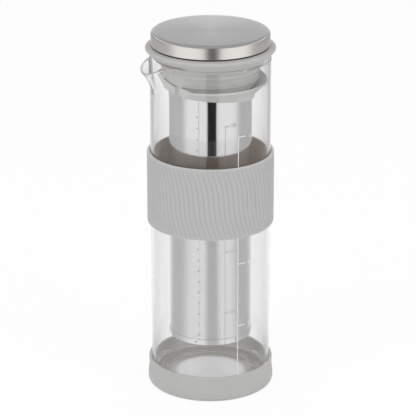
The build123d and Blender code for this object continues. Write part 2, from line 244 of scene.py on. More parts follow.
def write_mesh(bm: bmesh.types.BMesh, name: str) -> bpy.types.Object:
    """Writes a mesh to a new object and frees it.

    Args:
        bm: The mesh, in metres.
        name: Name of the piece.

    Returns:
        The linked object.
    """
    mesh = bpy.data.meshes.new(name)
    bm.to_mesh(mesh)
    bm.free()
    return linked(name, mesh)


def finish_mesh(bm: bmesh.types.BMesh, name: str) -> bpy.types.Object:
    """Writes a mesh object with outward normals, smooth faces and sharp creases.

    Args:
        bm: The mesh, in metres.
        name: Name of the piece.

    Returns:
        The linked object.
    """
    bmesh.ops.recalc_face_normals(bm, faces=bm.faces)
    for face in bm.faces:
        face.smooth = True
    for edge in bm.edges:
        edge.smooth = len(edge.link_faces) != 2 or edge.calc_face_angle(0.0) < CREASE
    return write_mesh(bm, name)


def add_face(bm: bmesh.types.BMesh, corners: Sequence[bmesh.types.BMVert]) -> None:
    """Adds a face to a mesh, with each corner once, unless fewer than three are left.

    Args:
        bm: The mesh.
        corners: The face's corners in order, with repeats where it ends in a point.
    """
    unique = [corner for spot, corner in enumerate(corners) if corner not in corners[:spot]]
    if len(unique) > 2:
        bm.faces.new(unique)


def swept_piece(name: str, section: Section, angles: Sequence[float], closed: bool) -> bpy.types.Object:
    """Builds a solid from one outline per angle round the axis.

    Args:
        name: Name of the piece.
        section: Gives the outline (radius, height) at an angle, always with the same count.
        angles: Angles round the axis.
        closed: True for a ring with an open middle, False for an outline that starts and
            ends on the axis.

    Returns:
        The piece.
    """
    bm = bmesh.new()
    columns = []
    poles: dict[int, bmesh.types.BMVert] = {}
    for angle in angles:
        outline = section(angle)
        column = []
        for index, (radius, height) in enumerate(outline):
            if not closed and index in (0, len(outline) - 1):
                if index not in poles:
                    poles[index] = bm.verts.new((0, 0, height * MM))
                column.append(poles[index])
                continue
            column.append(bm.verts.new(on_cylinder(radius, angle, height)))
        columns.append(column)
    count = len(columns[0])
    for place, column in enumerate(columns):
        other = columns[(place + 1) % len(columns)]
        for index in range(count if closed else count - 1):
            following = (index + 1) % count
            add_face(bm, [column[index], other[index], other[following], column[following]])
    bmesh.ops.remove_doubles(bm, verts=bm.verts, dist=2e-7)
    return finish_mesh(bm, name)


def turned_piece(name: str, outline: Sequence[Point], divisions: int) -> bpy.types.Object:
    """Builds a solid of one outline that starts and ends on the axis.

    Args:
        name: Name of the piece.
        outline: The outline (radius, height).
        divisions: Even divisions of the full turn.

    Returns:
        The piece.
    """
    return swept_piece(name, lambda angle: outline, ring_angles(divisions), closed=False)


def wrapped_patch(name: str, outline: Sequence[Point], radius: float, thickness: float) -> bpy.types.Object:
    """Thin raised patch wrapped on an upright cylinder.

    Args:
        name: Name of the piece.
        outline: Corners (arc length from the scale's azimuth, height), anticlockwise from outside.
        radius: Radius that the patch lies on.
        thickness: How thick the patch is.

    Returns:
        The patch.
    """
    bm = bmesh.new()
    rings = []
    for level in (radius, radius + thickness):
        places = [on_cylinder(level, SCALE_ANGLE + arc / radius, height) for arc, height in outline]
        rings.append([bm.verts.new(place) for place in places])
    inner, outer = rings
    bm.faces.new(outer)
    bm.faces.new(list(reversed(inner)))
    for index in range(len(outline)):
        following = (index + 1) % len(outline)
        bm.faces.new([inner[index], inner[following], outer[following], outer[index]])
    return finish_mesh(bm, name)


def joined(name: str, pieces: Sequence[bpy.types.Object]) -> bpy.types.Object:
    """Joins meshes into one piece.

    Args:
        name: Name of the joined piece.
        pieces: Mesh objects that sit at the origin.

    Returns:
        The joined piece.
    """
    bm = bmesh.new()
    for piece in pieces:
        bm.from_mesh(piece.data)
        bpy.data.objects.remove(piece)
    return write_mesh(bm, name)


def settle(piece: bpy.types.Object, body: str, material: bpy.types.Material,
           nodes: Sequence[str] = ()) -> None:
    """Dresses a piece and ties it to the frame.

    Args:
        piece: The piece.
        body: CAD body that it rides on.
        material: Its finish.
        nodes: CAD nodes that it stands for.
    """
    piece.data.materials.clear()
    piece.data.materials.append(material)
    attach(piece, body)
    if nodes:
        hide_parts(*nodes)
    LOG.info("piece %s on %s: %d faces", piece.name, body, len(piece.data.polygons))


# ---- shader effects ----------------------------------------------------------------------------


class NodeSheet:
    """Small helper that places and joins shader nodes."""

    def __init__(self, tree: bpy.types.NodeTree) -> None:
        """Starts on an empty tree."""
        self.tree = tree
        self.tree.nodes.clear()

    def add(self, kind: str, **values: object) -> Node:
        """Adds a node.

        Args:
            kind: Node type without its prefix.
            **values: Node settings, or socket values under the socket's name with _ for blanks.

        Returns:
            The node.
        """
        node = self.tree.nodes.new("ShaderNode" + kind)
        for key, value in values.items():
            if hasattr(node, key):
                setattr(node, key, value)
            else:
                node.inputs[key.replace("_", " ")].default_value = value
        return node

    def join(self, source: Socket, target: Socket) -> None:
        """Joins an output to an input."""
        self.tree.links.new(source, target)

    def maths(self, operation: str, first: object, second: object = 0.0) -> Socket:
        """Adds a Math node.

        Args:
            operation: Name of the operation.
            first: Socket or number.
            second: Socket or number.

        Returns:
            The result's socket.
        """
        node = self.tree.nodes.new("ShaderNodeMath")
        node.operation = operation
        for index, value in enumerate((first, second)):
            if isinstance(value, Socket):
                self.join(value, node.inputs[index])
            else:
                node.inputs[index].default_value = value
        return node.outputs[0]

    def blend(self, factor: Socket, first: object, second: object) -> Socket:
        """Adds a colour mix.

        Args:
            factor: Share of the second colour.
            first: Colour or socket.
            second: Colour or socket.

        Returns:
            The mixed colour's socket.
        """
        node = self.tree.nodes.new("ShaderNodeMix")
        node.data_type = "RGBA"
        self.join(factor, node.inputs[0])
        for index, value in ((6, first), (7, second)):
            if isinstance(value, Socket):
                self.join(value, node.inputs[index])
            else:
                node.inputs[index].default_value = (*value, 1.0)
        return node.outputs[2]

    def ramp(self, value: Socket, low: float, high: float, ends: Point = (0.0, 1.0),
             kind: str = "SMOOTHSTEP") -> Socket:
        """Maps a stretch of values to a range and holds it at both ends.

        Args:
            value: Socket that is read.
            low: Value that gives the first end.
            high: Value that gives the second end.
            ends: Results at low and high.
            kind: How it runs between them.

        Returns:
            The mapped value's socket.
        """
        node = self.add("MapRange", interpolation_type=kind, From_Min=low, From_Max=high,
                        To_Min=ends[0], To_Max=ends[1])
        self.join(value, node.inputs["Value"])
        return node.outputs["Result"]

    def spread(self, value: Socket, low: float, high: float) -> Socket:
        """Maps 0..1 evenly to a range."""
        return self.ramp(value, 0.0, 1.0, (low, high), "LINEAR")

    def split(self, place: Node) -> tuple[Socket, Socket, Socket]:
        """Splits the place on the object that is shaded.

        Args:
            place: Coordinates node.

        Returns:
            Sockets of its X, Y and Z.
        """
        parts = self.add("SeparateXYZ")
        self.join(place.outputs["Object"], parts.inputs[0])
        return parts.outputs["X"], parts.outputs["Y"], parts.outputs["Z"]

    def weighted(self, *terms: tuple[Socket, object]) -> Socket:
        """Sum of two values, each times its factor."""
        return self.maths("ADD", *(self.maths("MULTIPLY", value, factor) for value, factor in terms))

    def length(self, first: Socket, second: Socket) -> Socket:
        """Length of two sides at right angles."""
        return self.maths("SQRT", self.weighted((first, first), (second, second)))

    def mottled(self, share: Socket, colour: Colour, tones: Point) -> Socket:
        """Varies a colour between a darker and a lighter tone.

        Args:
            share: Share of the lighter tone.
            colour: The colour.
            tones: Factors of the darker and the lighter tone.

        Returns:
            The varied colour's socket.
        """
        return self.blend(share, tinted(colour, tones[0]), tinted(colour, tones[1]))

    def relief(self, height: Socket, strength: float, distance: float) -> Socket:
        """Adds a bump.

        Args:
            height: Height of the relief, 0..1.
            strength: Strength of the bump.
            distance: Depth in metres.

        Returns:
            The normal's socket.
        """
        node = self.add("Bump", Strength=strength, Distance=distance)
        self.join(height, node.inputs["Height"])
        return node.outputs[0]

    def mix(self, factor: Socket, first: Node, second: Node, output: Node) -> None:
        """Mixes two shaders into the output.

        Args:
            factor: Share of the second shader.
            first: Shader node.
            second: Shader node.
            output: Output node.
        """
        node = self.add("MixShader")
        for index, socket in enumerate((factor, first.outputs[0], second.outputs[0])):
            self.join(socket, node.inputs[index])
        self.join(node.outputs[0], output.inputs["Surface"])

    def seen_rays(self) -> Socket:
        """Mask of what the eye sees straight, mirrored or through glass.

        Returns:
            The mask's socket.
        """
        rays = self.add("LightPath")
        either = self.maths("MAXIMUM", rays.outputs["Is Camera Ray"], rays.outputs["Is Glossy Ray"])
        return self.maths("MAXIMUM", either, rays.outputs["Is Transmission Ray"])


def fresh_material(name: str) -> tuple[bpy.types.Material, NodeSheet]:
    """Starts a material.

    Args:
        name: Name of the material.

    Returns:
        The material and its empty sheet.
    """
    material = bpy.data.materials.new(name)
    material.use_nodes = True
    return material, NodeSheet(material.node_tree)


def tinted(colour: Colour, factor: float) -> Colour:
    """Makes a colour lighter or darker, with no channel over 1."""
    return tuple(min(1.0, channel * factor) for channel in colour)


class Effects:
    """Node groups that several finishes share, each built once."""

    def __init__(self) -> None:
        """Builds the groups."""
        self.grain = self.make_grain()
        self.smudges = self.make_smudges()
        self.brushing = self.make_brushing()

    @staticmethod
    def sheet(name: str, inputs: Sequence[tuple[str, str, float]], outputs: Sequence[str]) -> tuple[
            bpy.types.NodeTree, NodeSheet, Node, Node]:
        """Starts a group with named sockets.

        Args:
            name: Name of the group.
            inputs: (socket name, kind, default) of each input; a vector's default is ignored.
            outputs: Names of the float outputs.

        Returns:
            The tree, its helper, and its input and output nodes.
        """
        tree = bpy.data.node_groups.new(name, "ShaderNodeTree")
        for label, kind, value in inputs:
            socket = tree.interface.new_socket(label, in_out="INPUT", socket_type="NodeSocket" + kind)
            if kind == "Float":
                socket.default_value = value
        for label in outputs:
            tree.interface.new_socket(label, in_out="OUTPUT", socket_type="NodeSocketFloat")
        sheet = NodeSheet(tree)
        return tree, sheet, sheet.tree.nodes.new("NodeGroupInput"), sheet.tree.nodes.new("NodeGroupOutput")

    @staticmethod
    def texture(sheet: NodeSheet, source: Node, kind: str, scale: str, **values: float) -> Node:
        """Adds a texture that reads a group's vector and one of its scales.

        Args:
            sheet: The group's sheet.
            source: The group's input node.
            kind: Node type without its prefix.
            scale: Name of the scale.
            **values: Its other values.

        Returns:
            The texture node.
        """
        node = sheet.add(kind, **values)
        sheet.join(source.outputs["Vector"], node.inputs["Vector"])
        sheet.join(source.outputs[scale], node.inputs["Scale"])
        return node

    def make_grain(self) -> bpy.types.NodeTree:
        """Fine moulded grain over a slow mottle.

        Returns:
            Group with Height for a bump and Tone for the colour.
        """
        inputs = [("Vector", "Vector", 0), ("Grain Scale", "Float", 2200), ("Mottle Scale", "Float", 45)]
        tree, sheet, source, result = self.sheet("fine_grain", inputs, ("Height", "Tone"))
        fine = self.texture(sheet, source, "TexNoise", "Grain Scale", Detail=3.0, Roughness=0.6)
        slow = self.texture(sheet, source, "TexNoise", "Mottle Scale", Detail=4.0, Roughness=0.55)
        sheet.join(fine.outputs[0], result.inputs["Height"])
        tone = sheet.weighted((fine.outputs[0], 0.25), (slow.outputs[0], 0.75))
        sheet.join(tone, result.inputs["Tone"])
        return tree

    def make_smudges(self) -> bpy.types.NodeTree:
        """Handling marks and dried drops: soft patches with a few small spots.

        Returns:
            Group with Patch, from 0 where clean to 1 where smudged, and Spots.
        """
        inputs = [("Vector", "Vector", 0), ("Scale", "Float", 22), ("Spot Scale", "Float", 130)]
        tree, sheet, source, result = self.sheet("smudges", inputs, ("Patch", "Spots"))
        noise = self.texture(sheet, source, "TexNoise", "Scale", Detail=5.0, Roughness=0.62, Distortion=0.8)
        cells = self.texture(sheet, source, "TexVoronoi", "Spot Scale")
        patch_edge, spot_edge = (0.42, 0.72), (0.16, 0.08)
        patch = sheet.ramp(noise.outputs[0], *patch_edge)
        spots = sheet.ramp(cells.outputs["Distance"], *spot_edge)
        sheet.join(patch, result.inputs["Patch"])
        sheet.join(sheet.maths("MULTIPLY", spots, patch), result.inputs["Spots"])
        return tree

    def make_brushing(self) -> bpy.types.NodeTree:
        """Fine parallel lines of a brushed or spun sheet, drawn out along one direction.

        Returns:
            Group with Lines, from 0 to 1. Its vector is already stretched along the lines.
        """
        inputs = [("Vector", "Vector", 0), ("Fine Scale", "Float", 1.0), ("Broad Scale", "Float", 0.2)]
        tree, sheet, source, result = self.sheet("brushed_lines", inputs, ("Lines",))
        shares = []
        for label, share in (("Fine Scale", 0.6), ("Broad Scale", 0.4)):
            noise = self.texture(sheet, source, "TexNoise", label, Detail=2.0, Roughness=0.7)
            shares.append((noise.outputs[0], share))
        sheet.join(sheet.weighted(*shares), result.inputs["Lines"])
        return tree


@dataclass(frozen=True)
class Finish:
    """What every finish has: a name and the shared effects."""

    name: str
    effects: Effects

    def start(self) -> tuple[bpy.types.Material, NodeSheet, Node, Node]:
        """Starts the material.

        Returns:
            The material, its sheet, its output node and its Object coordinates node.
        """
        material, sheet = fresh_material(self.name)
        return material, sheet, sheet.add("OutputMaterial"), sheet.add("TexCoord")

    def group(self, sheet: NodeSheet, tree: bpy.types.NodeTree, vector: Socket, **values: float) -> Node:
        """Places a shared effect.

        Args:
            sheet: The material's sheet.
            tree: The effect's group.
            vector: Coordinates that it reads.
            **values: Its other inputs, with _ for blanks.

        Returns:
            The group node.
        """
        node = sheet.tree.nodes.new("ShaderNodeGroup")
        node.node_tree = tree
        sheet.join(vector, node.inputs["Vector"])
        for key, value in values.items():
            node.inputs[key.replace("_", " ")].default_value = value
        return node

    def cylinder_place(self, sheet: NodeSheet, place: Node) -> tuple[Socket, Socket, Socket]:
        """Splits a place into angle, radius and height."""
        across, along, height = sheet.split(place)
        return sheet.maths("ARCTAN2", along, across), sheet.length(across, along), height

    def dress(self, sheet: NodeSheet, shader: Node, output: Node | None, **sockets: Socket) -> None:
        """Joins a shader's inputs, and the shader to the output if it is the only one.

        Args:
            sheet: The material's sheet.
            shader: The shader node.
            output: The output node, or None if a mix of shaders follows.
            **sockets: What goes into each input, with _ for blanks.
        """
        for key, socket in sockets.items():
            sheet.join(socket, shader.inputs[key.replace("_", " ")])
        if output:
            sheet.join(shader.outputs[0], output.inputs["Surface"])


@dataclass(frozen=True)
class SiliconeFinish(Finish):
    """Soft matt silicone with a fine moulded grain and faint handling marks, and where set, painted light and
    shade.
    """

    colour: Colour = (0.474, 0.471, 0.463)
    grain_scale: float = 2400.0
    inside: float = 0.0           # radius in millimetres inside which the painted inner light shows: a lighter, warmer colour for light bounced round the inside
    inside_colour: Colour = (0.49, 0.47, 0.45)
    tones: Point = (0.94, 1.05)   # darkest and lightest mottle
    roughness: Point = (0.58, 0.5)        # where clean and where smudged
    bump: Point = (0.35, 0.04 * MM)       # strength and depth in metres
    sheen: Point = (0.12, 0.45)   # weight and roughness
    specular: float = 0.38
    dust_tone: float = 1.1
    dust_share: float = 0.25
    lip_shade: float = 0.0        # distance towards the lip at which a painted brown shade under the flange begins
    shade_run: float = 6.0        # millimetres over which it grows
    shade_low: float = 244.5      # heights in millimetres between which it lies
    shade_soft: float = 1.5
    shade_below: float = 249.5
    shade_colour: Colour = (0.28, 0.23, 0.195)
    crest: float = 0.0            # radius of the ribs' crests; the grooves below it get painted shade
    groove: float = 0.45
    groove_start: float = 0.1     # share of the groove's depth at which it starts to darken
    groove_tone: float = 0.9
    rubbed: Point = (0.0, 0.0)    # heights below and above which the two edges get a painted highlight
    rubbed_tone: float = 1.2
    disc: float = 0.0             # radius of a pale painted reflection in the middle of a floor
    disc_soft: float = 2.5
    disc_colour: Colour = (0.97, 0.97, 0.97)
    ring_density: float = 1900.0  # weak rings of the painted reflection, in radians a metre
    ring_wobble: float = 0.0004   # metres by which they move the disc's edge
    ring_share: float = 0.05
    # darker, warmer painted shade on the floor round the painted reflection
    floor_colour: Colour = (0.44, 0.41, 0.38)
    floor_top: float = 4.2        # height up to which the floor's painted reflection and shade reach

    def worn_colour(self, sheet: NodeSheet, place: Node, colour: Socket) -> Socket:
        """Adds painted light and shade: a brown painted shade by the lip, painted shade in the grooves,
        painted highlights on the hems, and painted light inside with a painted reflection on the floor.

        Args:
            sheet: The material's sheet.
            place: Coordinates node.
            colour: Colour so far.

        Returns:
            The colour with this painted light and shade.
        """
        # painted brown shade under the flange on the lip side, between two heights
        if self.lip_shade:
            across, _, level = sheet.split(place)
            start = -self.lip_shade
            fade = sheet.ramp(across, (start - self.shade_run) * MM, start * MM, (1.0, 0.0))
            low, soft = self.shade_low, self.shade_soft
            covered = sheet.ramp(level, (low - soft) * MM, (low + soft) * MM)
            under = sheet.maths("LESS_THAN", level, self.shade_below * MM)
            share = sheet.maths("MULTIPLY", fade, sheet.maths("MULTIPLY", covered, under))
            colour = sheet.blend(share, colour, self.shade_colour)
        if not self.inside:
            return colour
        _, radius, height = self.cylinder_place(sheet, place)
        if self.crest:
            # painted shade that darkens the grooves towards their bottom
            bottom, start = self.crest - self.groove, self.crest - self.groove_start * self.groove
            depth = sheet.ramp(radius, bottom * MM, start * MM, (1.0, 0.0))
            colour = sheet.blend(depth, colour, tinted(self.colour, self.groove_tone))
            # painted highlight that lightens both hems
            low, high = self.rubbed
            edge = sheet.maths("MAXIMUM", sheet.maths("LESS_THAN", height, low * MM),
                               sheet.maths("GREATER_THAN", height, high * MM))
            colour = sheet.blend(edge, colour, tinted(self.colour, self.rubbed_tone))
        # painted light inside: a lighter, warmer colour for light bounced round the inside
        inner: object = self.inside_colour
        # painted reflection of the overhead lamp in the glass floor: a pale ringed patch, with darker painted
        # shade round it
        if self.disc:
            rings = sheet.maths("SINE", sheet.maths("MULTIPLY", radius, self.ring_density))
            spot = sheet.maths("ADD", radius, sheet.maths("MULTIPLY", rings, self.ring_wobble))
            limits = (self.disc - self.disc_soft) * MM, (self.disc + self.disc_soft) * MM
            pale = sheet.ramp(spot, *limits, (1.0, 0.0))
            ringed = sheet.maths("ADD", sheet.maths("MULTIPLY", rings, self.ring_share), 1 - self.ring_share)
            floor = sheet.blend(sheet.maths("MULTIPLY", pale, ringed), self.floor_colour, self.disc_colour)
            above = sheet.maths("GREATER_THAN", height, self.floor_top * MM)
            inner = sheet.blend(above, floor, self.inside_colour)
        return sheet.blend(sheet.maths("LESS_THAN", radius, self.inside * MM), colour, inner)

    def build(self) -> bpy.types.Material:
        """Builds the material.

        Returns:
            The silicone material.
        """
        material, sheet, output, place = self.start()
        spot = place.outputs["Object"]
        grain = self.group(sheet, self.effects.grain, spot, Grain_Scale=self.grain_scale, Mottle_Scale=38.0)
        marks = self.group(sheet, self.effects.smudges, spot, Scale=26.0, Spot_Scale=210.0)
        colour = sheet.mottled(grain.outputs["Tone"], self.colour, self.tones)
        dust = sheet.maths("MULTIPLY", marks.outputs["Spots"], self.dust_share)
        colour = sheet.blend(dust, colour, tinted(self.colour, self.dust_tone))
        colour = self.worn_colour(sheet, place, colour)
        shader = sheet.add("BsdfPrincipled")
        shader.inputs["Sheen Weight"].default_value = self.sheen[0]
        shader.inputs["Sheen Roughness"].default_value = self.sheen[1]
        shader.inputs["Specular IOR Level"].default_value = self.specular
        self.dress(sheet, shader, output, Base_Color=colour,
                   Roughness=sheet.spread(marks.outputs["Patch"], *self.roughness),
                   Normal=sheet.relief(grain.outputs["Height"], *self.bump))
        return material


@dataclass(frozen=True)
class GlassFinish(Finish):
    """Clear blown borosilicate: faintly drawn, with a few dried drops, and open to lamp light."""

    tint: Colour = (0.974, 0.974, 0.974)
    edge_tint: Colour = (0.868, 0.868, 0.868)
    rim: float = 247.4            # height of the rim in millimetres
    rim_clear: float = 0.65       # share of light that goes straight through it
    rim_below: Point = (1.5, 0.7)         # millimetres below the rim between which that grows
    rim_lip_side: Point = (-38.0, -30.0)  # and distances along X between which it grows from the lip
    roughness: Point = (0.0, 0.05)        # where clean and in a dried drop
    bump: Point = (0.05, 0.03 * MM)       # strength and depth in metres
    drawn: tuple[float, ...] = (1.0, 1.0, 0.12)    # the surface changes slowly along the axis
    edge_facing: Point = (0.12, 0.72)     # slopes between which the edge tint grows
    trapped_after: float = 4.5    # after more steps than this, part of the light goes straight on
    trapped_clear: float = 0.62
    clear_tint: Colour = (0.982, 0.985, 0.985)

    def rim_share(self, sheet: NodeSheet, place: Node) -> Socket:
        """Share of light that goes straight through the fire-polished rim, away from the lip.

        Args:
            sheet: The material's sheet.
            place: Coordinates node.

        Returns:
            The share's socket.
        """
        across, _, level = sheet.split(place)
        near_top = sheet.ramp(level, *((self.rim - below) * MM for below in self.rim_below))
        off_lip = sheet.ramp(across, *(distance * MM for distance in self.rim_lip_side))
        return sheet.maths("MULTIPLY", sheet.maths("MULTIPLY", near_top, off_lip), self.rim_clear)

    def build(self) -> bpy.types.Material:
        """Builds the material.

        Returns:
            The glass material.
        """
        material, sheet, output, place = self.start()
        drawn = sheet.add("Mapping", vector_type="POINT")
        drawn.inputs["Scale"].default_value = self.drawn
        sheet.join(place.outputs["Object"], drawn.inputs["Vector"])
        grain = self.group(sheet, self.effects.grain, drawn.outputs[0], Grain_Scale=70.0, Mottle_Scale=14.0)
        marks = self.group(sheet, self.effects.smudges, place.outputs["Object"], Scale=15.0, Spot_Scale=90.0)
        shader = sheet.add("BsdfPrincipled", IOR=1.47)
        shader.inputs["Transmission Weight"].default_value = 1.0
        edge = sheet.ramp(sheet.add("LayerWeight", Blend=0.5).outputs["Facing"], *self.edge_facing)
        self.dress(sheet, shader, None, Base_Color=sheet.blend(edge, self.tint, self.edge_tint),
                   Roughness=sheet.spread(marks.outputs["Spots"], *self.roughness),
                   Normal=sheet.relief(grain.outputs["Tone"], *self.bump))
        clear = sheet.add("BsdfTransparent")
        clear.inputs["Color"].default_value = (*self.clear_tint, 1.0)
        rays = sheet.add("LightPath")
        lamps = sheet.maths("MAXIMUM", rays.outputs["Is Shadow Ray"], rays.outputs["Is Diffuse Ray"])
        deep = sheet.maths("GREATER_THAN", rays.outputs["Ray Depth"], self.trapped_after)
        trapped = sheet.maths("MULTIPLY", deep, self.trapped_clear)
        straight = sheet.maths("MAXIMUM", trapped, self.rim_share(sheet, place))
        straight = sheet.maths("MAXIMUM", lamps, straight)
        sheet.mix(straight, shader, clear, output)
        return material


class Brushing(Enum):
    """Which way a sheet's brushed lines run."""

    ROUND = (1.0, 0.02)       # rings about the axis: changes along radius and height
    UPRIGHT = (0.02, 1.0)     # up the tube: changes along the angle


@dataclass(frozen=True)
class SteelFinish(Finish):
    """Brushed steel sheet, optionally etched with fine holes between two levels."""

    colour: Colour = (0.66, 0.66, 0.665)
    brushing: Brushing = Brushing.ROUND
    roughness: Point = (0.16, 0.26)
    line_density: float = 900.0
    anisotropy: float = 0.0
    bump: Point = (0.5, 0.01 * MM)        # strength and depth in metres
    tones: Point = (0.93, 1.06)   # darkest and lightest line
    smudge_rough: float = 0.012   # roughness that a smudge adds
    etched_below: float = 0.0     # heights in millimetres between which the holes reach
    etched_above: float = 0.0
    hole_pitch: float = 0.9
    hole_edge: Point = (0.62, 0.86)       # heights of the hole wave between which a hole darkens
    hole_tone: float = 0.62
    hole_rough: float = 0.25
    tube_radius: float = 29.6
    inside: float = 0.0           # radius within which the sheet is left dull
    inside_metal: float = 0.3
    inside_rough: float = 0.32
    side_from: float = 0.0        # radius beyond which the side's warmer painted reflection shows
    side_colour: Colour = (0.785, 0.752, 0.724)

    def hole_mask(self, sheet: NodeSheet, angle: Socket, height: Socket) -> Socket:
        """Staggered grid of small round holes between two levels.

        Args:
            sheet: The material's sheet.
            angle: Angle round the axis.
            height: Height in metres.

        Returns:
            Mask that is 1 in a hole.
        """
        holes_round = round(2 * math.pi * self.tube_radius / self.hole_pitch)
        across = sheet.maths("MULTIPLY", angle, holes_round / 2)
        along = sheet.maths("MULTIPLY", height, math.pi / (self.hole_pitch * MM))
        wave = sheet.maths("MULTIPLY", sheet.maths("SINE", across), sheet.maths("SINE", along))
        dots = sheet.ramp(sheet.maths("ABSOLUTE", wave), *self.hole_edge)
        low = sheet.maths("GREATER_THAN", height, self.etched_above * MM)
        high = sheet.maths("LESS_THAN", height, self.etched_below * MM)
        return sheet.maths("MULTIPLY", dots, sheet.maths("MULTIPLY", low, high))

    def build(self) -> bpy.types.Material:
        """Builds the material.

        Returns:
            The steel material.
        """
        material, sheet, output, place = self.start()
        angle, radius, height = self.cylinder_place(sheet, place)
        across, along = self.brushing.value
        run, turn = self.line_density * across, self.line_density * along * self.tube_radius * MM
        stretched = sheet.add("CombineXYZ")
        sheet.join(sheet.weighted((radius, run), (sheet.maths("SINE", angle), turn)), stretched.inputs["X"])
        sheet.join(sheet.maths("MULTIPLY", sheet.maths("COSINE", angle), turn), stretched.inputs["Y"])
        sheet.join(sheet.maths("MULTIPLY", height, run), stretched.inputs["Z"])
        spot = stretched.outputs[0]
        lines = self.group(sheet, self.effects.brushing, spot, Fine_Scale=1.6, Broad_Scale=0.3)
        marks = self.group(sheet, self.effects.smudges, place.outputs["Object"], Scale=30.0, Spot_Scale=240.0)
        colour = sheet.mottled(lines.outputs["Lines"], self.colour, self.tones)
        # painted warm reflection on the side of the cap
        if self.side_from:
            side = sheet.maths("GREATER_THAN", radius, self.side_from * MM)
            colour = sheet.blend(side, colour, self.side_colour)
        rough = sheet.spread(lines.outputs["Lines"], *self.roughness)
        rough = sheet.maths("ADD", rough, sheet.maths("MULTIPLY", marks.outputs["Patch"], self.smudge_rough))
        if self.etched_below:
            holes = self.hole_mask(sheet, angle, height)
            colour = sheet.blend(holes, colour, tinted(self.colour, self.hole_tone))
            rough = sheet.maths("ADD", rough, sheet.maths("MULTIPLY", holes, self.hole_rough))
        shader = sheet.add("BsdfPrincipled")
        shader.inputs["Metallic"].default_value = 1.0
        shader.inputs["Anisotropic"].default_value = self.anisotropy
        if self.inside:
            within = sheet.maths("LESS_THAN", radius, self.inside * MM)
            sheet.join(sheet.spread(within, 1.0, self.inside_metal), shader.inputs["Metallic"])
            rough = sheet.maths("ADD", rough, sheet.maths("MULTIPLY", within, self.inside_rough))
        if self.anisotropy:
            tangent = sheet.add("Tangent", direction_type="RADIAL", axis="Z")
            sheet.join(tangent.outputs[0], shader.inputs["Tangent"])
        self.dress(sheet, shader, output, Base_Color=colour, Roughness=rough,
                   Normal=sheet.relief(lines.outputs["Lines"], *self.bump))
        return material


@dataclass(frozen=True)
class PaintFinish(Finish):
    """Plain opaque finish with a fine grain: moulded plastic or fired enamel print."""

    colour: Colour = (0.05, 0.05, 0.05)
    roughness: Point = (0.4, 0.5)
    tones: Point = (0.9, 1.08)    # darkest and lightest mottle
    bump: Point = (0.3, 0.02 * MM)        # strength and depth in metres
    grain_scale: float = 1800.0

    def build(self) -> bpy.types.Material:
        """Builds the material.

        Returns:
            The opaque material.
        """
        material, sheet, output, place = self.start()
        spot = place.outputs["Object"]
        grain = self.group(sheet, self.effects.grain, spot, Grain_Scale=self.grain_scale, Mottle_Scale=60.0)
        tone = grain.outputs["Tone"]
        self.dress(sheet, sheet.add("BsdfPrincipled"), output,
                   Base_Color=sheet.mottled(tone, self.colour, self.tones),
                   Roughness=sheet.spread(tone, *self.roughness),
                   Normal=sheet.relief(grain.outputs["Height"], *self.bump))
        return material


@dataclass(frozen=True)
class Finishes:
    """Every finish on the object, built once."""

    silicone: bpy.types.Material
    boot_silicone: bpy.types.Material
    collar_silicone: bpy.types.Material
    ribbed_silicone: bpy.types.Material
    glass: bpy.types.Material
    print_enamel: bpy.types.Material
    tube_steel: bpy.types.Material
    cup_steel: bpy.types.Material
    weld_steel: bpy.types.Material
    cap_steel: bpy.types.Material
    core_plastic: bpy.types.Material

    @staticmethod
    def make() -> "Finishes":
        """Builds all finishes.

        Returns:
            The finishes.
        """
        effects = Effects()
        within_sheet = Extent.of("filter_floor").high.x - 0.8
        tube = {"brushing": Brushing.UPRIGHT, "roughness": (0.05, 0.10), "line_density": 700.0,
                "inside": within_sheet}
        return Finishes(
            # the lid's silicone gets a painted brown shade under the flange by the lip
            silicone=SiliconeFinish("warm_grey_silicone", effects, lip_shade=30.5).build(),
            # the boot: painted light inside, and on its floor a painted reflection with painted shade round
            # it
            boot_silicone=SiliconeFinish("boot_grey_silicone", effects, inside=43.6,
                                         inside_colour=(0.74, 0.71, 0.68), disc=25.0).build(),
            collar_silicone=SiliconeFinish("pale_grey_silicone", effects, (0.545, 0.542, 0.53)).build(),
            # the sleeve: painted shade in the grooves, painted highlights on the hems and warm painted light
            # inside
            ribbed_silicone=SiliconeFinish("ribbed_grey_silicone", effects, (0.472, 0.472, 0.472),
                                           grain_scale=2000.0, inside=43.6, inside_colour=(0.555, 0.44, 0.37),
                                           crest=45.45, rubbed=(125.3, 177.2)).build(),
            glass=GlassFinish("clear_borosilicate", effects, rim=Extent.of("glass_carafe").high.z).build(),
            print_enamel=PaintFinish("white_print_enamel", effects, (0.76, 0.76, 0.76), (0.35, 0.45)).build(),
            tube_steel=SteelFinish("etched_filter_steel", effects, (0.755, 0.755, 0.755), etched_below=194.0,
                                   etched_above=42.2, **tube).build(),
            cup_steel=SteelFinish("pressed_cup_steel", effects, (0.745, 0.745, 0.745), **tube).build(),
            weld_steel=SteelFinish("spot_weld_steel", effects, (0.16, 0.15, 0.14),
                                   roughness=(0.35, 0.45)).build(),
            # the cap's side gets a warmer painted reflection
            cap_steel=SteelFinish("spun_cap_steel", effects, (0.748, 0.748, 0.756), roughness=(0.2, 0.28),
                                  line_density=1500.0, anisotropy=0.55, tube_radius=42.1,
                                  side_from=41.6).build(),
            # near black core plastic, made this dark partly as painted shade for the shadow gap under the cap
            core_plastic=PaintFinish("dark_core_plastic_gap_shade", effects, (0.035, 0.032, 0.03),
                                     (0.42, 0.52)).build(),
        )


# ---- the object --------------------------------------------------------------------------------


@dataclass
class SubAssembly:
    """What every sub-assembly has: the finishes that dress its pieces."""

    finishes: Finishes


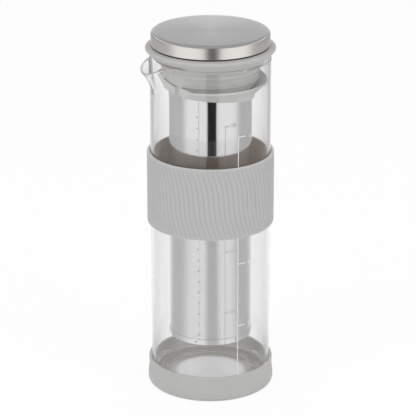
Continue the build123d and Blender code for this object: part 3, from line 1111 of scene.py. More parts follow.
@dataclass
class BaseBoot(SubAssembly):
    """Silicone boot: a waisted cup that the carafe stands in."""

    bore: float = 43.2
    waist: float = 44.9
    rim: float = 45.15
    waist_height: float = 12.6
    bulge_height: float = 5.6
    floor: float = 2.0
    groove_radius: float = 35.0
    groove_width: float = 3.0
    groove_depth: float = 0.8
    longest: float = 6.0          # longest run of the outline that is left undivided
    divisions: int = 192

    def outline(self) -> list[Point]:
        """Outline of the turned cup.

        Returns:
            Points from the middle of the underside to the middle of the inside.
        """
        extent = Extent.of("base_boot")
        foot, top = extent.high.x, extent.high.z
        inner, outer = self.groove_radius - self.groove_width / 2, self.groove_radius + self.groove_width / 2
        corners = [
            Corner(0, 0),
            Corner(inner, 0, 0.4),
            Corner(inner + self.groove_depth / 2, self.groove_depth, 0.3),
            Corner(outer - self.groove_depth / 2, self.groove_depth, 0.3),
            Corner(outer, 0, 0.4),
            Corner(foot, 0, 3.6),
            Corner(foot, self.bulge_height, 9.0),
            Corner(self.waist, self.waist_height, 14.0),
            Corner(self.rim, top, 0.85),
            Corner(self.bore, top, 0.5),
            Corner(self.bore, self.floor, 4.6),
            Corner(0, self.floor),
        ]
        return rounded_outline(corners, self.longest)

    def build(self) -> None:
        """Builds and dresses the boot."""
        piece = turned_piece("boot_cup", self.outline(), self.divisions)
        settle(piece, "boot", self.finishes.boot_silicone, ["base_boot"])


@dataclass
class GripSleeve(SubAssembly):
    """Ribbed silicone sleeve. Its ribs slant and bend into an S between two plain hems."""

    bore: float = 43.2
    rib_count: int = 79
    rib_depth: float = 0.5
    slant: float = 14.6
    sway: float = 0.72          # how much more upright the ribs run at mid height than at the hems
    hem: float = 1.3            # height over which the ribs rise out of the plain hem
    hem_start: float = 0.7
    hem_sink: float = 0.06      # how much lower the plain hem lies than the ribs' crests
    edge: float = 0.75          # height of the rounded edge
    outer_edge: tuple[Point, ...] = ((0.75, 0.0), (0.38, 0.12), (0.15, 0.4))    # in from the crest
    inner_edge: tuple[Point, ...] = ((0.35, 0.0), (0.1, 0.1), (0.0, 0.35))      # out from the bore
    samples: int = 10           # divisions of a rib
    sharpness: float = 1.9
    levels: int = 30

    def __post_init__(self) -> None:
        """Reads the sleeve's place from the frame."""
        extent = Extent.of("grip_sleeve")
        self.low, self.high, self.crest = extent.low.z, extent.high.z, extent.high.x

    def rib_relief(self, angle: float, share: float) -> float:
        """How deep the surface lies under the crest.

        Args:
            angle: Angle round the axis.
            share: Height as a share of the sleeve's, from its lower edge.

        Returns:
            Depth in millimetres.
        """
        bend = share + self.sway * math.sin(2 * math.pi * share) / (2 * math.pi)
        phase = self.rib_count * (angle + math.radians(self.slant) * bend)
        return self.rib_depth * ((1 - math.cos(phase)) / 2) ** self.sharpness

    def section(self, angle: float) -> list[Point]:
        """Outline of the sleeve's wall at an angle.

        Args:
            angle: Angle round the axis.

        Returns:
            Closed outline.
        """
        low, high, crest = self.low, self.high, self.crest
        outer = [(crest - off, step) for off, step in self.outer_edge]
        inner = [(self.bore + off, step) for off, step in self.inner_edge]
        points = [(radius, low + step) for radius, step in inner[:1] + outer]
        for level in range(self.levels + 1):
            share = level / self.levels
            height = low + self.edge + (high - low - 2 * self.edge) * share
            fade = smooth_step((min(height - low, high - height) - self.hem_start) / self.hem)
            sunk = self.hem_sink * (1 - fade) + self.rib_relief(angle, share) * fade
            points.append((crest - sunk, height))
        points += [(radius, high - step) for radius, step in outer[::-1] + inner]
        return points + [(radius, low + step) for radius, step in inner[:0:-1]]

    def build(self) -> None:
        """Builds and dresses the sleeve."""
        angles = ring_angles(self.rib_count * self.samples)
        piece = swept_piece("sleeve_ribbed", self.section, angles, closed=True)
        settle(piece, "sleeve", self.finishes.ribbed_silicone, ["grip_sleeve"])


@dataclass
class Carafe(SubAssembly):
    """Blown glass carafe with a pouring lip, and the measuring scale printed on it."""

    wall: float = 2.2
    floor: float = 6.0
    heel: float = 5.0
    inner_heel: float = 9.0
    punt_radius: float = 30.0
    punt_height: float = 0.8
    rim_round: float = 0.95
    lip_reach: float = 10.5
    lip_drop: float = 6.0
    lip_rise: float = 30.0
    lip_half_angle: float = 27.0
    edge_start_fall: float = 0.05
    edge_tip_fall: float = 0.75
    scale_volumes: tuple[int, ...] = (1000, 750, 500, 250)
    scale_zero: float = 9.6
    scale_pitch: float = 47.45
    line_width: float = 0.58
    tick_length: float = 6.2
    tick_half_width: float = 0.35
    line_start: float = 1.5       # how far above the scale's zero the upright line starts
    number_height: float = 3.0
    number_size: float = 1.4      # text size for figures of height 1
    number_gap: float = 2.2
    number_spacing: float = 1.06
    print_gap: float = 0.005      # keeps the print off the glass's own surface
    print_thickness: float = 0.03
    lip_rounds: int = 8           # rounds that settle the lip's upper edge
    edge_blend: float = 4.0       # how soon that edge leaves the round rim
    longest: float = 2.6          # longest run of the outline that is left undivided
    divisions: int = 300
    lip_finer: int = 3            # how many times finer the lip is divided
    lip_margin: float = 2.0       # degrees beyond the lip that are divided as finely

    def __post_init__(self) -> None:
        """Reads the glass's place from the frame."""
        extent = Extent.of("glass_carafe")
        self.base, self.rim, self.radius = extent.low.z, extent.high.z, extent.high.y
        self.bore = self.radius - self.wall

    def edge_height(self, reach: float) -> float:
        """Height of the glass's upper edge along the lip.

        Args:
            reach: Distance from the axis towards the lip.

        Returns:
            Height in millimetres.
        """
        start, tip = self.bore - self.wall, self.radius + self.lip_reach
        run = tip - start
        share = max(0.0, min(1.0, (reach - start) / run))
        square, cube = share * share, share ** 3
        fall = self.lip_drop * (3 * square - 2 * cube)
        fall += run * self.edge_start_fall * (cube - 2 * square + share)
        fall += run * self.edge_tip_fall * (cube - square)
        return self.rim - fall

    def lip_spot(self, radius: float, height: float, angle: float) -> Point:
        """Moves a point of the round wall into the lip.

        Args:
            radius: Radius in the round wall.
            height: Height in the round wall.
            angle: Angle round the axis.

        Returns:
            Radius and height in the lip.
        """
        low = self.rim - self.lip_rise
        off = abs(math.degrees(angle_between(angle, LIP_ANGLE)))
        if height <= low or off >= self.lip_half_angle:
            return radius, height
        fade = (1 + math.cos(math.pi * off / self.lip_half_angle)) / 2
        tip_rise = 1 - self.lip_drop / self.lip_rise
        top = self.rim
        for _ in range(self.lip_rounds):
            swell = self.lip_reach * ((top - low) / self.lip_rise / tip_rise) ** 2 * fade
            top = self.edge_height((radius + swell) * math.cos(math.radians(off)))
        top = self.rim - (self.rim - top) * min(1.0, fade * self.edge_blend)
        level = low + (height - low) * (top - low) / (self.rim - low)
        swell = self.lip_reach * ((level - low) / self.lip_rise / tip_rise) ** 2 * fade
        return radius + swell, level

    def outline(self) -> list[Point]:
        """Outline of the round blank.

        Returns:
            Points from the middle of the underside to the middle of the inside floor.
        """
        inside = self.base + self.floor
        corners = [
            Corner(0, self.base + self.punt_height),
            Corner(self.punt_radius, self.base + self.punt_height, 4.0),
            Corner(self.punt_radius + 3.2, self.base, 3.0),
            Corner(self.radius, self.base, self.heel),
            Corner(self.radius, self.rim, self.rim_round),
            Corner(self.bore, self.rim, self.rim_round),
            Corner(self.bore, inside, self.inner_heel),
            Corner(self.punt_radius - 4, inside, 40.0),
            Corner(0, inside + self.punt_height),
        ]
        return rounded_outline(corners, self.longest)

    def build_glass(self) -> None:
        """Builds and dresses the glass, with its round blank drawn out into the lip."""
        blank = self.outline()

        def section(angle: float) -> list[Point]:
            """Outline of the glass at an angle."""
            return [self.lip_spot(radius, height, angle) for radius, height in blank]

        half_width = math.radians(self.lip_half_angle + self.lip_margin)
        angles = ring_angles(self.divisions, LIP_ANGLE, half_width, self.lip_finer)
        piece = swept_piece("carafe_glass", section, angles, closed=False)
        settle(piece, "carafe", self.finishes.glass, ["glass_carafe"])

    def bar(self, name: str, left: float, right: float, low: float, high: float) -> bpy.types.Object:
        """Printed bar on the glass.

        Args:
            name: Name of the bar.
            left: Arc length of its left edge from the scale's azimuth.
            right: Arc length of its right edge.
            low: Height of its lower edge.
            high: Height of its upper edge.

        Returns:
            The bar.
        """
        steps = max(1, math.ceil(right - left))
        lower = [(left + (right - left) * step / steps, low) for step in range(steps + 1)]
        upper = [(arc, high) for arc, _ in reversed(lower)]
        return wrapped_patch(name, lower + upper, self.radius + self.print_gap, self.print_thickness)

    def number(self, volume: int, left: float, middle: float) -> bpy.types.Object:
        """Printed volume figure, bent round the glass.

        Args:
            volume: The figure.
            left: Arc length of its left edge.
            middle: Height of its middle.

        Returns:
            The figure's mesh.
        """
        curve = bpy.data.curves.new(f"figure_{volume}", "FONT")
        curve.body = str(volume)
        curve.size = self.number_height * self.number_size
        curve.space_character = self.number_spacing
        curve.extrude = 0.5
        curve.resolution_u = 3
        text = linked(f"figure_{volume}", curve)
        bpy.context.view_layer.update()
        mesh = bpy.data.meshes.new_from_object(text)
        bpy.data.objects.remove(text)
        bm = bmesh.new()
        bm.from_mesh(mesh)
        bmesh.ops.remove_doubles(bm, verts=bm.verts, dist=1e-4)
        inner = self.radius + self.print_gap
        for vert in bm.verts:
            level = inner + self.print_thickness if vert.co.z > 0 else inner
            angle = SCALE_ANGLE + (left + vert.co.x) / self.radius
            vert.co = on_cylinder(level, angle, middle - self.number_height / 2 + vert.co.y)
        return finish_mesh(bm, f"figure_{volume}")

    def build_scale(self) -> None:
        """Prints the measuring scale: an upright line, a tick and a figure for each volume."""
        top_level = self.scale_zero + self.scale_pitch * len(self.scale_volumes)
        half = self.line_width / 2
        tick = self.tick_half_width
        marks = [self.bar("scale_line", -half, half, self.scale_zero + self.line_start, top_level + tick)]
        for place, volume in enumerate(self.scale_volumes):
            level = top_level - self.scale_pitch * place
            marks.append(self.bar(f"tick_{volume}", half, self.tick_length, level - tick, level + tick))
            marks.append(self.number(volume, self.tick_length + self.number_gap, level))
        piece = joined("scale_print", marks)
        settle(piece, "carafe", self.finishes.print_enamel)

    def build(self) -> None:
        """Builds the glass and its scale."""
        self.build_glass()
        self.build_scale()


@dataclass
class Filter(SubAssembly):
    """Steel filter: rolled tube with a welded lap seam, pressed floor cup and silicone collar."""

    wall: float = 0.5
    cup_trim: float = 0.3         # the pressed cup's thin skirt hugs the tube
    lap_angle: float = math.radians(-133.2)
    lap_step: float = 0.09
    lap_spread: float = 0.22
    weld_angle: float = math.radians(-136.4)
    weld_drift: float = math.radians(2.8)      # the row leans a little towards the cup
    weld_pitch: float = 8.25
    weld_start: float = 3.6       # height of the lowest spot above the cup
    weld_margin: float = 6.0      # length of the tube above the cup that stays free of spots
    weld_radius: float = 0.48
    weld_sides: int = 14
    weld_profile: tuple[Point, ...] = (    # (share of the radius, how proud it stands)
        (0.0, -0.01), (0.55, 0.01), (0.85, 0.06), (1.0, -0.03), (0.7, -0.2), (0.0, -0.2))
    cup_weld_radius: float = 0.62
    cup_weld_rise: float = 0.9    # above the middle of the cup
    cup_weld_angles: tuple[float, ...] = (-137.6, -80.4, -20.4, 39.6, 99.6, 159.6)
    cup_round: float = 2.1
    step_radius: float = 20.0
    step_height: float = 1.2
    rim_band: float = 1.2
    rim_wall: float = 1.0
    sleeve_wall: float = 1.6
    cone_height: float = 9.0
    funnel_depth: float = 5.6
    tail: float = 3.8
    front_cut: float = 6.0
    flat_cover: float = 0.3
    flat_wall: float = 1.9
    tab_cover: float = 3.0
    tab_half_width: float = 10.0
    rim_chamfer: float = 0.15
    collar_room: float = 0.05     # between the collar's foot and the tube
    tube_steps: int = 24          # divisions of the tube's height
    tube_divisions: int = 180     # and round it, with the seam divided more finely
    seam_half_width: float = math.radians(8)
    seam_finer: int = 8
    cup_longest: float = 5.0
    collar_longest: float = 0.9
    collar_divisions: int = 240
    flat_half_width: float = math.radians(48)
    flat_finer: int = 4
    flat_limit: float = 0.2       # cosine of the angle from the lip at which the flat side ends
    flat_blend: Point = (0.9, 0.6)        # how softly the flat meets the round, outside and inside
    run_points: int = 34          # points along the collar's outside
    slope_steps: int = 8          # divisions of its funnel and of its foot inside
    foot_steps: int = 6

    def __post_init__(self) -> None:
        """Reads the filter's place from the frame."""
        tube, cup, collar = Extent.of("filter_tube"), Extent.of("filter_floor"), Extent.of("filter_collar")
        self.cup_radius, self.base, self.cup_top = cup.high.x - self.cup_trim, cup.low.z, cup.high.z
        self.radius = cup.high.x - self.wall
        self.tube_low, self.tube_top, self.lip_radius = tube.low.z, tube.high.z, tube.high.x
        self.collar_rim, self.collar_top = collar.high.x, collar.high.z
        self.flat, self.tab = self.radius + self.flat_cover, self.radius + self.tab_cover
        self.lip_base = self.collar_top - self.funnel_depth

    def tube_section(self, angle: float) -> list[Point]:
        """Outline of the tube's sheet at an angle, with its lap seam.

        Args:
            angle: Angle round the axis.

        Returns:
            Closed outline.
        """
        behind = (self.lap_angle - angle) % (2 * math.pi)
        lap = self.lap_step * max(0.0, 1 - behind / self.lap_spread) if behind < self.lap_spread else 0.0
        outer = self.radius - self.lap_step + lap
        inner = outer - self.wall
        rise, steps = self.lip_base - self.tube_low, self.tube_steps
        heights = [self.tube_low + rise * step / steps for step in range(steps + 1)]
        points = [(outer, height) for height in heights]
        # the flared lip, up its outside, over its edge and down its inside
        points += [(outer + 0.35, self.lip_base + 0.25), (self.lip_radius, self.tube_top - 0.75),
                   (self.lip_radius - 0.1, self.tube_top - 0.35), (inner + 0.4, self.lip_base + 0.45)]
        return points + [(inner, height) for height in reversed(heights)]

    def build_tube(self) -> None:
        """Builds the tube and its row of spot welds."""
        angles = ring_angles(self.tube_divisions, self.lap_angle, self.seam_half_width, self.seam_finer)
        piece = swept_piece("filter_tube_sheet", self.tube_section, angles, closed=True)
        settle(piece, "filter", self.finishes.tube_steel, ["filter_tube"])
        count = int((self.lip_base - self.cup_top - self.weld_margin) / self.weld_pitch)
        welds = []
        for place in range(count):
            angle = self.weld_angle + self.weld_drift * (1 - place / count)
            height = self.cup_top + self.weld_start + self.weld_pitch * place
            welds.append(self.weld(f"weld_{place}", self.radius, angle, height, self.weld_radius))
        middle = (self.cup_top + self.base) / 2 + self.cup_weld_rise
        for place, degrees in enumerate(self.cup_weld_angles):
            spot = self.cup_radius, math.radians(degrees), middle, self.cup_weld_radius
            welds.append(self.weld(f"cup_weld_{place}", *spot))
        piece = joined("filter_spot_welds", welds)
        settle(piece, "filter", self.finishes.weld_steel)

    def weld(self, name: str, radius: float, angle: float, height: float, size: float) -> bpy.types.Object:
        """Small dished spot weld with a raised ring.

        Args:
            name: Name of the weld.
            radius: Radius of the surface that it lies on.
            angle: Angle round the axis.
            height: Height of its middle.
            size: Radius of the weld.

        Returns:
            The weld.
        """
        bm = bmesh.new()
        out = Vector((math.cos(angle), math.sin(angle), 0))
        side = Vector((-math.sin(angle), math.cos(angle), 0))
        sides = self.weld_sides
        rings = []
        for share, proud in self.weld_profile:
            ring = []
            for step in range(sides if share else 1):
                turn = 2 * math.pi * step / sides
                across, along = size * share * math.cos(turn), size * share * math.sin(turn)
                sag = radius - math.sqrt(radius * radius - across * across)
                spot = out * (radius + proud - sag) + side * across + Vector((0, 0, height + along))
                ring.append(bm.verts.new(spot * MM))
            rings.append(ring)
        for first, second in zip(rings, rings[1:]):
            for step in range(sides):
                ends = [(ring[step % len(ring)], ring[(step + 1) % len(ring)]) for ring in (first, second)]
                add_face(bm, [ends[0][0], *ends[1], ends[0][1]])
        return finish_mesh(bm, name)

    def build_cup(self) -> None:
        """Builds the pressed floor cup."""
        outer, inner = self.cup_radius, self.radius
        level = self.base + self.wall
        corners = [
            Corner(0, self.base + self.step_height),
            Corner(self.step_radius, self.base + self.step_height, 1.0),
            Corner(self.step_radius + self.step_height, self.base, 1.0),
            Corner(outer, self.base, self.cup_round),
            Corner(outer, self.cup_top - 0.15, 0.06),
            Corner(inner - self.lap_step + 0.04, self.cup_top),
            Corner(inner - self.lap_step, self.cup_top - 0.05),
            Corner(inner - self.lap_step, level, self.cup_round - self.wall),
            Corner(self.step_radius + self.step_height, level, 1.0),
            Corner(self.step_radius, level + self.step_height, 1.0),
            Corner(0, level + self.step_height),
        ]
        outline = rounded_outline(corners, self.cup_longest)
        piece = turned_piece("filter_floor_cup", outline, self.tube_divisions)
        settle(piece, "filter", self.finishes.cup_steel, ["filter_floor"])

    def tail_level(self, radius: float, angle: float) -> float:
        """Height of the collar's slanted lower edge at a place.

        Args:
            radius: Radius of the place.
            angle: Its angle round the axis.

        Returns:
            Height in millimetres.
        """
        sleeve = self.radius + self.sleeve_wall
        back_level = self.collar_top - self.rim_band - self.cone_height - self.tail
        front_level = self.collar_top - self.front_cut
        slant = (front_level - back_level) / (-self.tab - sleeve)
        return back_level + slant * (radius * math.cos(angle) - sleeve)

    def collar_section(self, angle: float) -> list[Point]:
        """Outline of the collar at an angle: round cone, flat side and tab.

        Args:
            angle: Angle round the axis.

        Returns:
            Closed outline with a fixed count.
        """
        off = angle_between(angle, LIP_ANGLE)
        near = math.cos(off) > self.flat_limit
        cosine = math.cos(off) if near else self.flat_limit
        side = abs(self.tab * math.tan(off)) if near else math.inf
        on_tab = smooth_step(self.tab_half_width + 0.5 - side) if cosine > 0.5 else 0.0

        def outside(radius: float) -> float:
            """Outer radius after the flat and the tab.

            Args:
                radius: Radius of the round cone.

            Returns:
                The radius at this angle.
            """
            if not near:
                return radius
            cut = soft_min(radius, self.flat / cosine, self.flat_blend[0])
            return cut * (1 - on_tab) + self.tab / cosine * on_tab

        def inside(radius: float) -> float:
            """Inner radius after the flat's wall.

            Args:
                radius: Radius of the round funnel.

            Returns:
                The radius at this angle.
            """
            if not near:
                return radius
            hollow = smooth_step(self.tab_half_width - self.flat_wall + 0.5 - side)
            reach = (self.flat - self.flat_wall) * (1 - hollow) + (self.tab - self.flat_wall / 2) * hollow
            return max(self.radius, soft_min(radius, reach / cosine, self.flat_blend[1]))

        cone_top = self.collar_top - self.rim_band
        cone_foot = cone_top - self.cone_height
        sleeve = self.radius + self.sleeve_wall
        outer = rounded_outline([
            Corner(self.collar_rim - 0.5, self.collar_top),
            Corner(self.collar_rim, self.collar_top, 0.4),
            Corner(self.collar_rim, cone_top, 0.7),
            Corner(sleeve, cone_foot, 3.0),
            Corner(sleeve, cone_foot - self.tail - 1),
        ], self.collar_longest)
        placed = [(outside(radius), height) for radius, height in outer]
        outer_run = cut_run(placed, lambda radius: self.tail_level(radius, angle), self.run_points)
        slope_top, slope_foot = self.collar_rim - self.rim_wall, self.radius + self.collar_room
        high = self.collar_top - self.rim_chamfer
        inner_run = [(inside(slope_top + 0.12), self.collar_top), (inside(slope_top), high)]
        for step in range(1, self.slope_steps + 1):
            share = step / self.slope_steps
            radius = slope_top + (slope_foot - slope_top) * share
            inner_run.append((inside(radius), high - (self.funnel_depth - self.rim_chamfer) * share))
        bottom = self.tail_level(self.radius, angle) + self.collar_room
        drop = min(bottom, self.lip_base - 0.2) - self.lip_base
        for step in range(1, self.foot_steps + 1):
            inner_run.append((slope_foot, self.lip_base + drop * step / self.foot_steps))
        edge_radius, edge_height = outer_run[-1]
        return outer_run + [(edge_radius - 0.12, edge_height - 0.02)] + inner_run[::-1]

    def build_collar(self) -> None:
        """Builds the silicone funnel collar."""
        angles = ring_angles(self.collar_divisions, LIP_ANGLE, self.flat_half_width, self.flat_finer)
        piece = swept_piece("filter_funnel_collar", self.collar_section, angles, closed=True)
        settle(piece, "filter", self.finishes.collar_silicone, ["filter_collar"])

    def build(self) -> None:
        """Builds the filter's pieces."""
        self.build_tube()
        self.build_cup()
        self.build_collar()


def cut_run(points: Sequence[Point], floor_at: Callable[[float], float], count: int) -> list[Point]:
    """Cuts a falling run of points off at a slanted level and spaces it evenly.

    Args:
        points: Points (radius, height) from the top down.
        floor_at: Lowest height allowed at a radius.
        count: How many points to return.

    Returns:
        The run, ending on the level.
    """
    kept = [Vector(points[0])]
    for first, second in zip(points, points[1:]):
        over_first, over_second = first[1] - floor_at(first[0]), second[1] - floor_at(second[0])
        if over_second <= 0:
            share = max(0.0, min(1.0, over_first / max(1e-9, over_first - over_second)))
            kept.append(Vector(first).lerp(Vector(second), share))
            break
        kept.append(Vector(second))
    lengths = [0.0]
    for first, second in zip(kept, kept[1:]):
        lengths.append(lengths[-1] + (second - first).length)
    run = []
    place = 0
    for step in range(count):
        target = lengths[-1] * step / (count - 1)
        while place < len(kept) - 2 and lengths[place + 1] < target:
            place += 1
        span = max(1e-9, lengths[place + 1] - lengths[place])
        spot = kept[place].lerp(kept[place + 1], max(0.0, min(1.0, (target - lengths[place]) / span)))
        run.append((spot.x, spot.y))
    return run


@dataclass
class Lid(SubAssembly):
    """Silicone stopper with fins, skirt and pouring facets, moulded core and spun steel cap."""

    flange_edge: float = 1.6
    flange_rise: float = 0.8
    seat_slope: float = 46.0
    seat_end: float = 37.4
    neck: float = 35.5
    toe: float = 32.4
    toe_round: float = 1.4
    skirt_wall: float = 3.2
    skirt_notch: float = 27.7
    collar_gap: float = 0.4
    fin_reach: float = 0.9
    fin_height: float = 1.3
    fin_levels: tuple[float, ...] = (239.7, 233.3)
    pocket_top: float = 31.0
    pocket_bottom: float = 28.6
    stopper_floor: float = 2.8
    pour_flat: float = 31.9
    pour_tilt: float = 5.0
    cap_sheet: float = 0.6
    cap_crown: float = 0.4
    cap_round: float = 2.2
    cap_rings: tuple[float, ...] = (0.25, 0.5, 0.72, 0.88)    # shares of the radius along the crown
    cap_longest: float = 3.0
    cap_divisions: int = 240
    facet_rise: float = 2.4       # how far the facets reach up over the seat's lower end
    facet_fade: float = 1.5
    facet_blend: float = 0.35
    facet_inside: float = 30.5    # radius inside which the facets cut nothing
    facet_angle: float = math.radians(60)
    longest: float = 2.2
    divisions: int = 180
    lip_half_width: float = math.radians(36)
    lip_finer: int = 4

    def __post_init__(self) -> None:
        """Reads the lid's place from the frame."""
        stopper, cap = Extent.of("lid_stopper"), Extent.of("lid_cap")
        self.foot, self.land, self.flange = stopper.low.z, stopper.high.z, stopper.high.x
        self.underside = Extent.of("filter_collar").high.z + self.collar_gap
        self.cap_low, self.cap_top, self.cap_radius = cap.low.z, cap.high.z, cap.high.x
        self.flange_low = self.land - self.flange_rise - self.flange_edge
        seat_fall = math.tan(math.radians(self.seat_slope)) * (self.flange - self.seat_end)
        self.seat_end_level = self.flange_low - seat_fall
        self.neck_level = self.seat_end_level - (self.seat_end - self.neck)

    def neck_at(self, height: float) -> float:
        """Radius of the plug's tapered body at a height."""
        return self.toe + (self.neck - self.toe) * (height - self.foot) / (self.neck_level - self.foot)

    def stopper_outline(self) -> list[Point]:
        """Outline of the round stopper.

        Returns:
            Points from the middle of the underside to the middle of the hollow's floor.
        """
        skirt_inside = self.toe - self.skirt_wall
        under = self.underside - 0.02
        corners = [
            Corner(0, self.underside),
            Corner(skirt_inside, self.underside, 0.4),
            Corner(skirt_inside, self.foot),
            Corner(self.toe, self.foot, self.toe_round),
            Corner(self.neck_at(under), under),
        ]
        for level in reversed(self.fin_levels):
            low = max(level - self.fin_height, self.underside + 0.02)
            corners += [
                Corner(self.neck_at(low), low, 0.5 if low > self.underside + 0.1 else 0),
                Corner(self.neck_at(level) + self.fin_reach, level, 0.28),
                Corner(self.neck_at(level), level + 0.05, 0.25),
            ]
        corners += [
            Corner(self.neck, self.neck_level, 1.6),
            Corner(self.seat_end, self.seat_end_level, 1.0),
            Corner(self.flange, self.flange_low, 0.75),
            Corner(self.flange, self.flange_low + self.flange_edge, 0.75),
            Corner(self.cap_radius, self.land, 1.5),
            Corner(self.pocket_top, self.land, 0.4),
            Corner(self.pocket_bottom, self.underside + self.stopper_floor, 2.4),
            Corner(0, self.underside + self.stopper_floor),
        ]
        return rounded_outline(corners, self.longest)

    def build_stopper(self) -> None:
        """Builds the stopper, with two upright facets and a notched skirt towards the lip."""
        blank = self.stopper_outline()
        facet_top = self.seat_end_level + self.facet_rise
        tilt = math.radians(self.pour_tilt)
        skirt_inside = self.toe - self.skirt_wall

        def section(angle: float) -> list[Point]:
            """Outline of the stopper at an angle.

            Args:
                angle: Angle round the axis.

            Returns:
                The outline, cut by the facets and the notch.
            """
            off = abs(angle_between(angle, LIP_ANGLE))
            if off > self.facet_angle:
                return blank
            facet = self.pour_flat * math.cos(tilt) / math.cos(off - tilt)
            notch = self.skirt_notch / math.cos(off)
            points = []
            for radius, height in blank:
                if height < self.underside - 0.01 and notch < radius + 1e-6:
                    radius, height = (notch, height) if notch > skirt_inside else (radius, self.underside)
                fade = smooth_step((facet_top - height) / self.facet_fade)
                cut = soft_min(radius, facet, self.facet_blend) if radius > self.facet_inside else radius
                points.append((radius + (cut - radius) * fade, height))
            return points

        angles = ring_angles(self.divisions, LIP_ANGLE, self.lip_half_width, self.lip_finer)
        piece = swept_piece("stopper_plug", section, angles, closed=False)
        settle(piece, "lid", self.finishes.silicone, ["lid_stopper"])

    def build_cap(self) -> None:
        """Builds the spun cap as a thin shell with a rounded edge."""
        inside = self.cap_radius - self.cap_sheet
        shoulder = self.cap_top - self.cap_crown
        crown = [Corner(0, self.cap_top)]
        for share in self.cap_rings:
            crown.append(Corner(self.cap_radius * share, self.cap_top - self.cap_crown * share * share))
        corners = crown + [
            Corner(self.cap_radius, shoulder, self.cap_round),
            Corner(self.cap_radius, self.cap_low, 0.22),
            Corner(inside, self.cap_low, 0.22),
            Corner(inside, shoulder - self.cap_sheet, self.cap_round - self.cap_sheet),
            Corner(0, self.cap_top - self.cap_sheet),
        ]
        outline = rounded_outline(corners, self.cap_longest)
        piece = turned_piece("cap_spun", outline, self.cap_divisions)
        settle(piece, "lid", self.finishes.cap_steel, ["lid_cap"])

    def dress_core(self, frame: dict) -> None:
        """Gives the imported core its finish.

        Args:
            frame: The loaded frame.
        """
        core = frame["nodes"]["lid_core"]
        core.data.materials.clear()
        core.data.materials.append(self.finishes.core_plastic)
        LOG.info("node %s dressed", core.name)

    def build(self, frame: dict) -> None:
        """Builds the lid's pieces.

        Args:
            frame: The loaded frame.
        """
        self.build_stopper()
        self.dress_core(frame)
        self.build_cap()


# ---- studio ------------------------------------------------------------------------------------


@dataclass(frozen=True)
class CardPlan:
    """A reflector card that runs round the set, from an inner and low edge to an outer and high one."""

    start: float        # degrees from the camera's azimuth
    end: float
    inner: float        # metres from the axis
    outer: float
    low: float
    high: float
    level: float        # brightness in the middle at the low edge; the card fades to white at both ends
    top_level: float    # and at the high edge
    soft: float         # degrees over which it fades


class Card(Enum):
    """Walls of the surround, and patches of the floor that the lower steel mirrors."""

    DARK_GAP = CardPlan(-10.0, 17.5, 0.42, 0.42, 0.0, 0.62, 0.016, 0.016, 3.6)
    LEFT_GREY = CardPlan(-172.0, -60.0, 0.42, 0.42, 0.0, 0.37, 0.64, 0.30, 27.0)
    RIGHT_GREY = CardPlan(62.0, 172.0, 0.42, 0.42, 0.0, 0.37, 0.60, 0.28, 30.0)
    BACK_GREY = CardPlan(140.0, 220.0, 0.80, 0.80, 0.42, 0.80, 0.73, 0.10, 10.0)
    FLOOR_GAP = CardPlan(-19.0, 28.0, 0.05, 0.40, 0.003, 0.003, 0.62, 0.62, 17.0)
    FLOOR_LEFT = CardPlan(-150.0, -48.0, 0.05, 0.40, 0.003, 0.003, 0.63, 0.63, 40.0)
    FLOOR_RIGHT = CardPlan(48.0, 150.0, 0.05, 0.40, 0.003, 0.003, 0.60, 0.60, 42.0)
    CEILING = CardPlan(-180.0, 180.0, 0.001, 1.30, 0.95, 0.95, 0.42, 0.42, 0.01)


@dataclass(frozen=True)
class LampPlan:
    """A soft round lamp that is aimed at the object."""

    azimuth: float      # degrees from the camera's azimuth
    elevation: float
    distance: float     # metres
    size: float
    power: float        # watts


class Lamp(Enum):
    """Two large softboxes in front and one overhead."""

    KEY = LampPlan(-48.0, 38.0, 1.25, 0.9, 3.6)
    FILL = LampPlan(52.0, 34.0, 1.3, 0.9, 3.4)
    TOP = LampPlan(180.0, 74.0, 1.2, 0.9, 2.0)


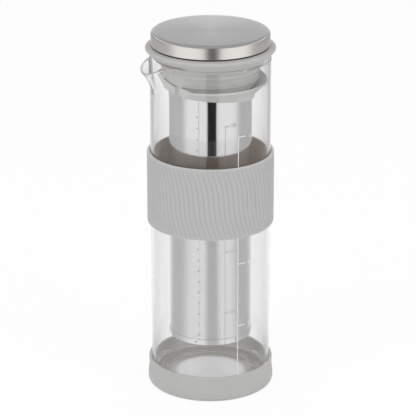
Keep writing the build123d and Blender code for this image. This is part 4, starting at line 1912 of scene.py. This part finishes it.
@dataclass
class Studio:
    """Pale floor, white surround, soft lamps, reflector cards and the camera."""

    picture_width: int = 416
    focal_pixels: float = 2300.0
    sensor: float = 36.0
    distance: float = 1.657
    elevation: float = 20.45
    azimuth: float = -27.4
    aim_height: float = 0.1324
    shift_pixels: tuple[float, float] = (-2.5, 0.5)
    world_level: float = 0.73
    floor_size: float = 6.0
    floor_tone: float = 0.93
    floor_glow: float = 0.9       # share of plain white in the floor as the eye sees it
    lamp_aim: float = 0.13
    card_steps: int = 24

    def away(self, azimuth: float, elevation: float) -> Vector:
        """Direction from the object, at angles from the camera's azimuth.

        Args:
            azimuth: Degrees to the right of the camera, as the object sees it.
            elevation: Degrees above the horizon.

        Returns:
            Unit vector.
        """
        turn, rise = math.radians(self.azimuth + azimuth), math.radians(elevation)
        return Vector((math.sin(turn) * math.cos(rise), -math.cos(turn) * math.cos(rise), math.sin(rise)))

    def aim(self, thing: bpy.types.Object, back: Vector, distance: float, height: float) -> None:
        """Places a camera or lamp and turns it to the object's axis.

        Args:
            thing: The camera or lamp.
            back: Direction from the object to it.
            distance: Metres from the aimed point.
            height: Height of the aimed point in metres.
        """
        thing.location = Vector((0, 0, height)) + back * distance
        thing.rotation_mode = "QUATERNION"
        thing.rotation_quaternion = (-back).to_track_quat("-Z", "Y")

    def build_camera(self) -> None:
        """Sets the camera at the photograph's viewpoint."""
        data = bpy.data.cameras.new("studio_camera")
        data.sensor_width = self.sensor
        data.lens = self.sensor * self.focal_pixels / self.picture_width
        data.shift_x = self.shift_pixels[0] / self.picture_width
        data.shift_y = self.shift_pixels[1] / self.picture_width
        data.clip_start, data.clip_end = 0.05, 20.0
        camera = linked("studio_camera", data)
        self.aim(camera, self.away(0, self.elevation), self.distance, self.aim_height)
        bpy.context.scene.camera = camera

    def build_world(self) -> None:
        """Makes a white surround that lights the object at a plain level."""
        world = bpy.data.worlds.new("studio_surround")
        bpy.context.scene.world = world
        world.use_nodes = True
        sheet = NodeSheet(world.node_tree)
        seen = sheet.add("Background", Strength=1.0)
        light = sheet.add("Background", Strength=self.world_level)
        for background in (seen, light):
            background.inputs["Color"].default_value = (1.0, 1.0, 1.0, 1.0)
        sheet.mix(sheet.seen_rays(), light, seen, sheet.add("OutputWorld"))

    def build_floor(self) -> None:
        """Lays a pale floor that keeps a soft shadow of the object."""
        bm = bmesh.new()
        bmesh.ops.create_grid(bm, x_segments=8, y_segments=8, size=self.floor_size)
        floor = finish_mesh(bm, "studio_floor")
        material, sheet = fresh_material("pale_floor")
        matt = sheet.add("BsdfDiffuse")
        matt.inputs["Color"].default_value = (*[self.floor_tone] * 3, 1.0)
        white = sheet.add("Emission", Strength=1.0)
        share = sheet.maths("MULTIPLY", sheet.seen_rays(), self.floor_glow)
        sheet.mix(share, matt, white, sheet.add("OutputMaterial"))
        floor.data.materials.append(material)

    def card_material(self, name: str, plan: CardPlan) -> bpy.types.Material:
        """Card that only shows in reflections.

        Args:
            name: Name of the material.
            plan: Where the card stands and how bright it looks.

        Returns:
            The material.
        """
        material, sheet = fresh_material(name)
        across, along, height = sheet.split(sheet.add("TexCoord"))
        middle, half = self.away((plan.start + plan.end) / 2, 0), (plan.end - plan.start) / 2
        ahead = sheet.weighted((across, middle.x), (along, middle.y))
        swing = sheet.maths("ARCCOSINE", sheet.maths("DIVIDE", ahead, sheet.length(across, along)))
        fade = sheet.ramp(swing, math.radians(half - plan.soft), math.radians(half))
        top = max(plan.high, plan.low + MM)
        rise = sheet.ramp(height, plan.low, top, (plan.level, plan.top_level), "LINEAR")
        sheet.join(rise, fade.node.inputs["To Min"])
        reflected = sheet.maths("GREATER_THAN", sheet.add("LightPath").outputs["Glossy Depth"], 0.5)
        glow = sheet.add("Emission")
        sheet.join(fade, glow.inputs["Strength"])
        sheet.mix(reflected, sheet.add("BsdfTransparent"), glow, sheet.add("OutputMaterial"))
        return material

    def build_cards(self) -> None:
        """Stands the reflector cards round the set."""
        for card in Card:
            plan = card.value
            bm = bmesh.new()
            columns = []
            for step in range(self.card_steps + 1):
                ahead = self.away(plan.start + (plan.end - plan.start) * step / self.card_steps, 0)
                edges = (ahead * plan.inner, plan.low), (ahead * plan.outer, plan.high)
                columns.append([bm.verts.new((place.x, place.y, level)) for place, level in edges])
            for first, second in zip(columns, columns[1:]):
                bm.faces.new([first[0], second[0], second[1], first[1]])
            name = "card_" + card.name.lower()
            piece = finish_mesh(bm, name)
            piece.data.materials.append(self.card_material(name, plan))
            piece.visible_camera = piece.visible_diffuse = piece.visible_shadow = False

    def build_lamps(self) -> None:
        """Hangs the soft lamps."""
        for lamp in Lamp:
            plan, name = lamp.value, lamp.name.lower() + "_softbox"
            data = bpy.data.lights.new(name, "AREA")
            data.shape, data.size, data.energy = "DISK", plan.size, plan.power
            thing = linked(name, data)
            self.aim(thing, self.away(plan.azimuth, plan.elevation), plan.distance, self.lamp_aim)
            thing.visible_glossy = False

    def build(self) -> None:
        """Builds the whole set."""
        bpy.context.scene.view_settings.view_transform = "Standard"
        self.build_world()
        self.build_floor()
        self.build_cards()
        self.build_lamps()
        self.build_camera()


def main() -> None:
    """Builds every sub-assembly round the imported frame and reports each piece."""
    logging.basicConfig(level=logging.INFO, format="%(name)s: %(message)s")
    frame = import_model()
    finishes = Finishes.make()
    for kind in (BaseBoot, GripSleeve, Carafe, Filter):
        kind(finishes).build()
    Lid(finishes).build(frame)
    Studio().build()
    LOG.info("all pieces built")


if __name__ == "__main__":
    main()
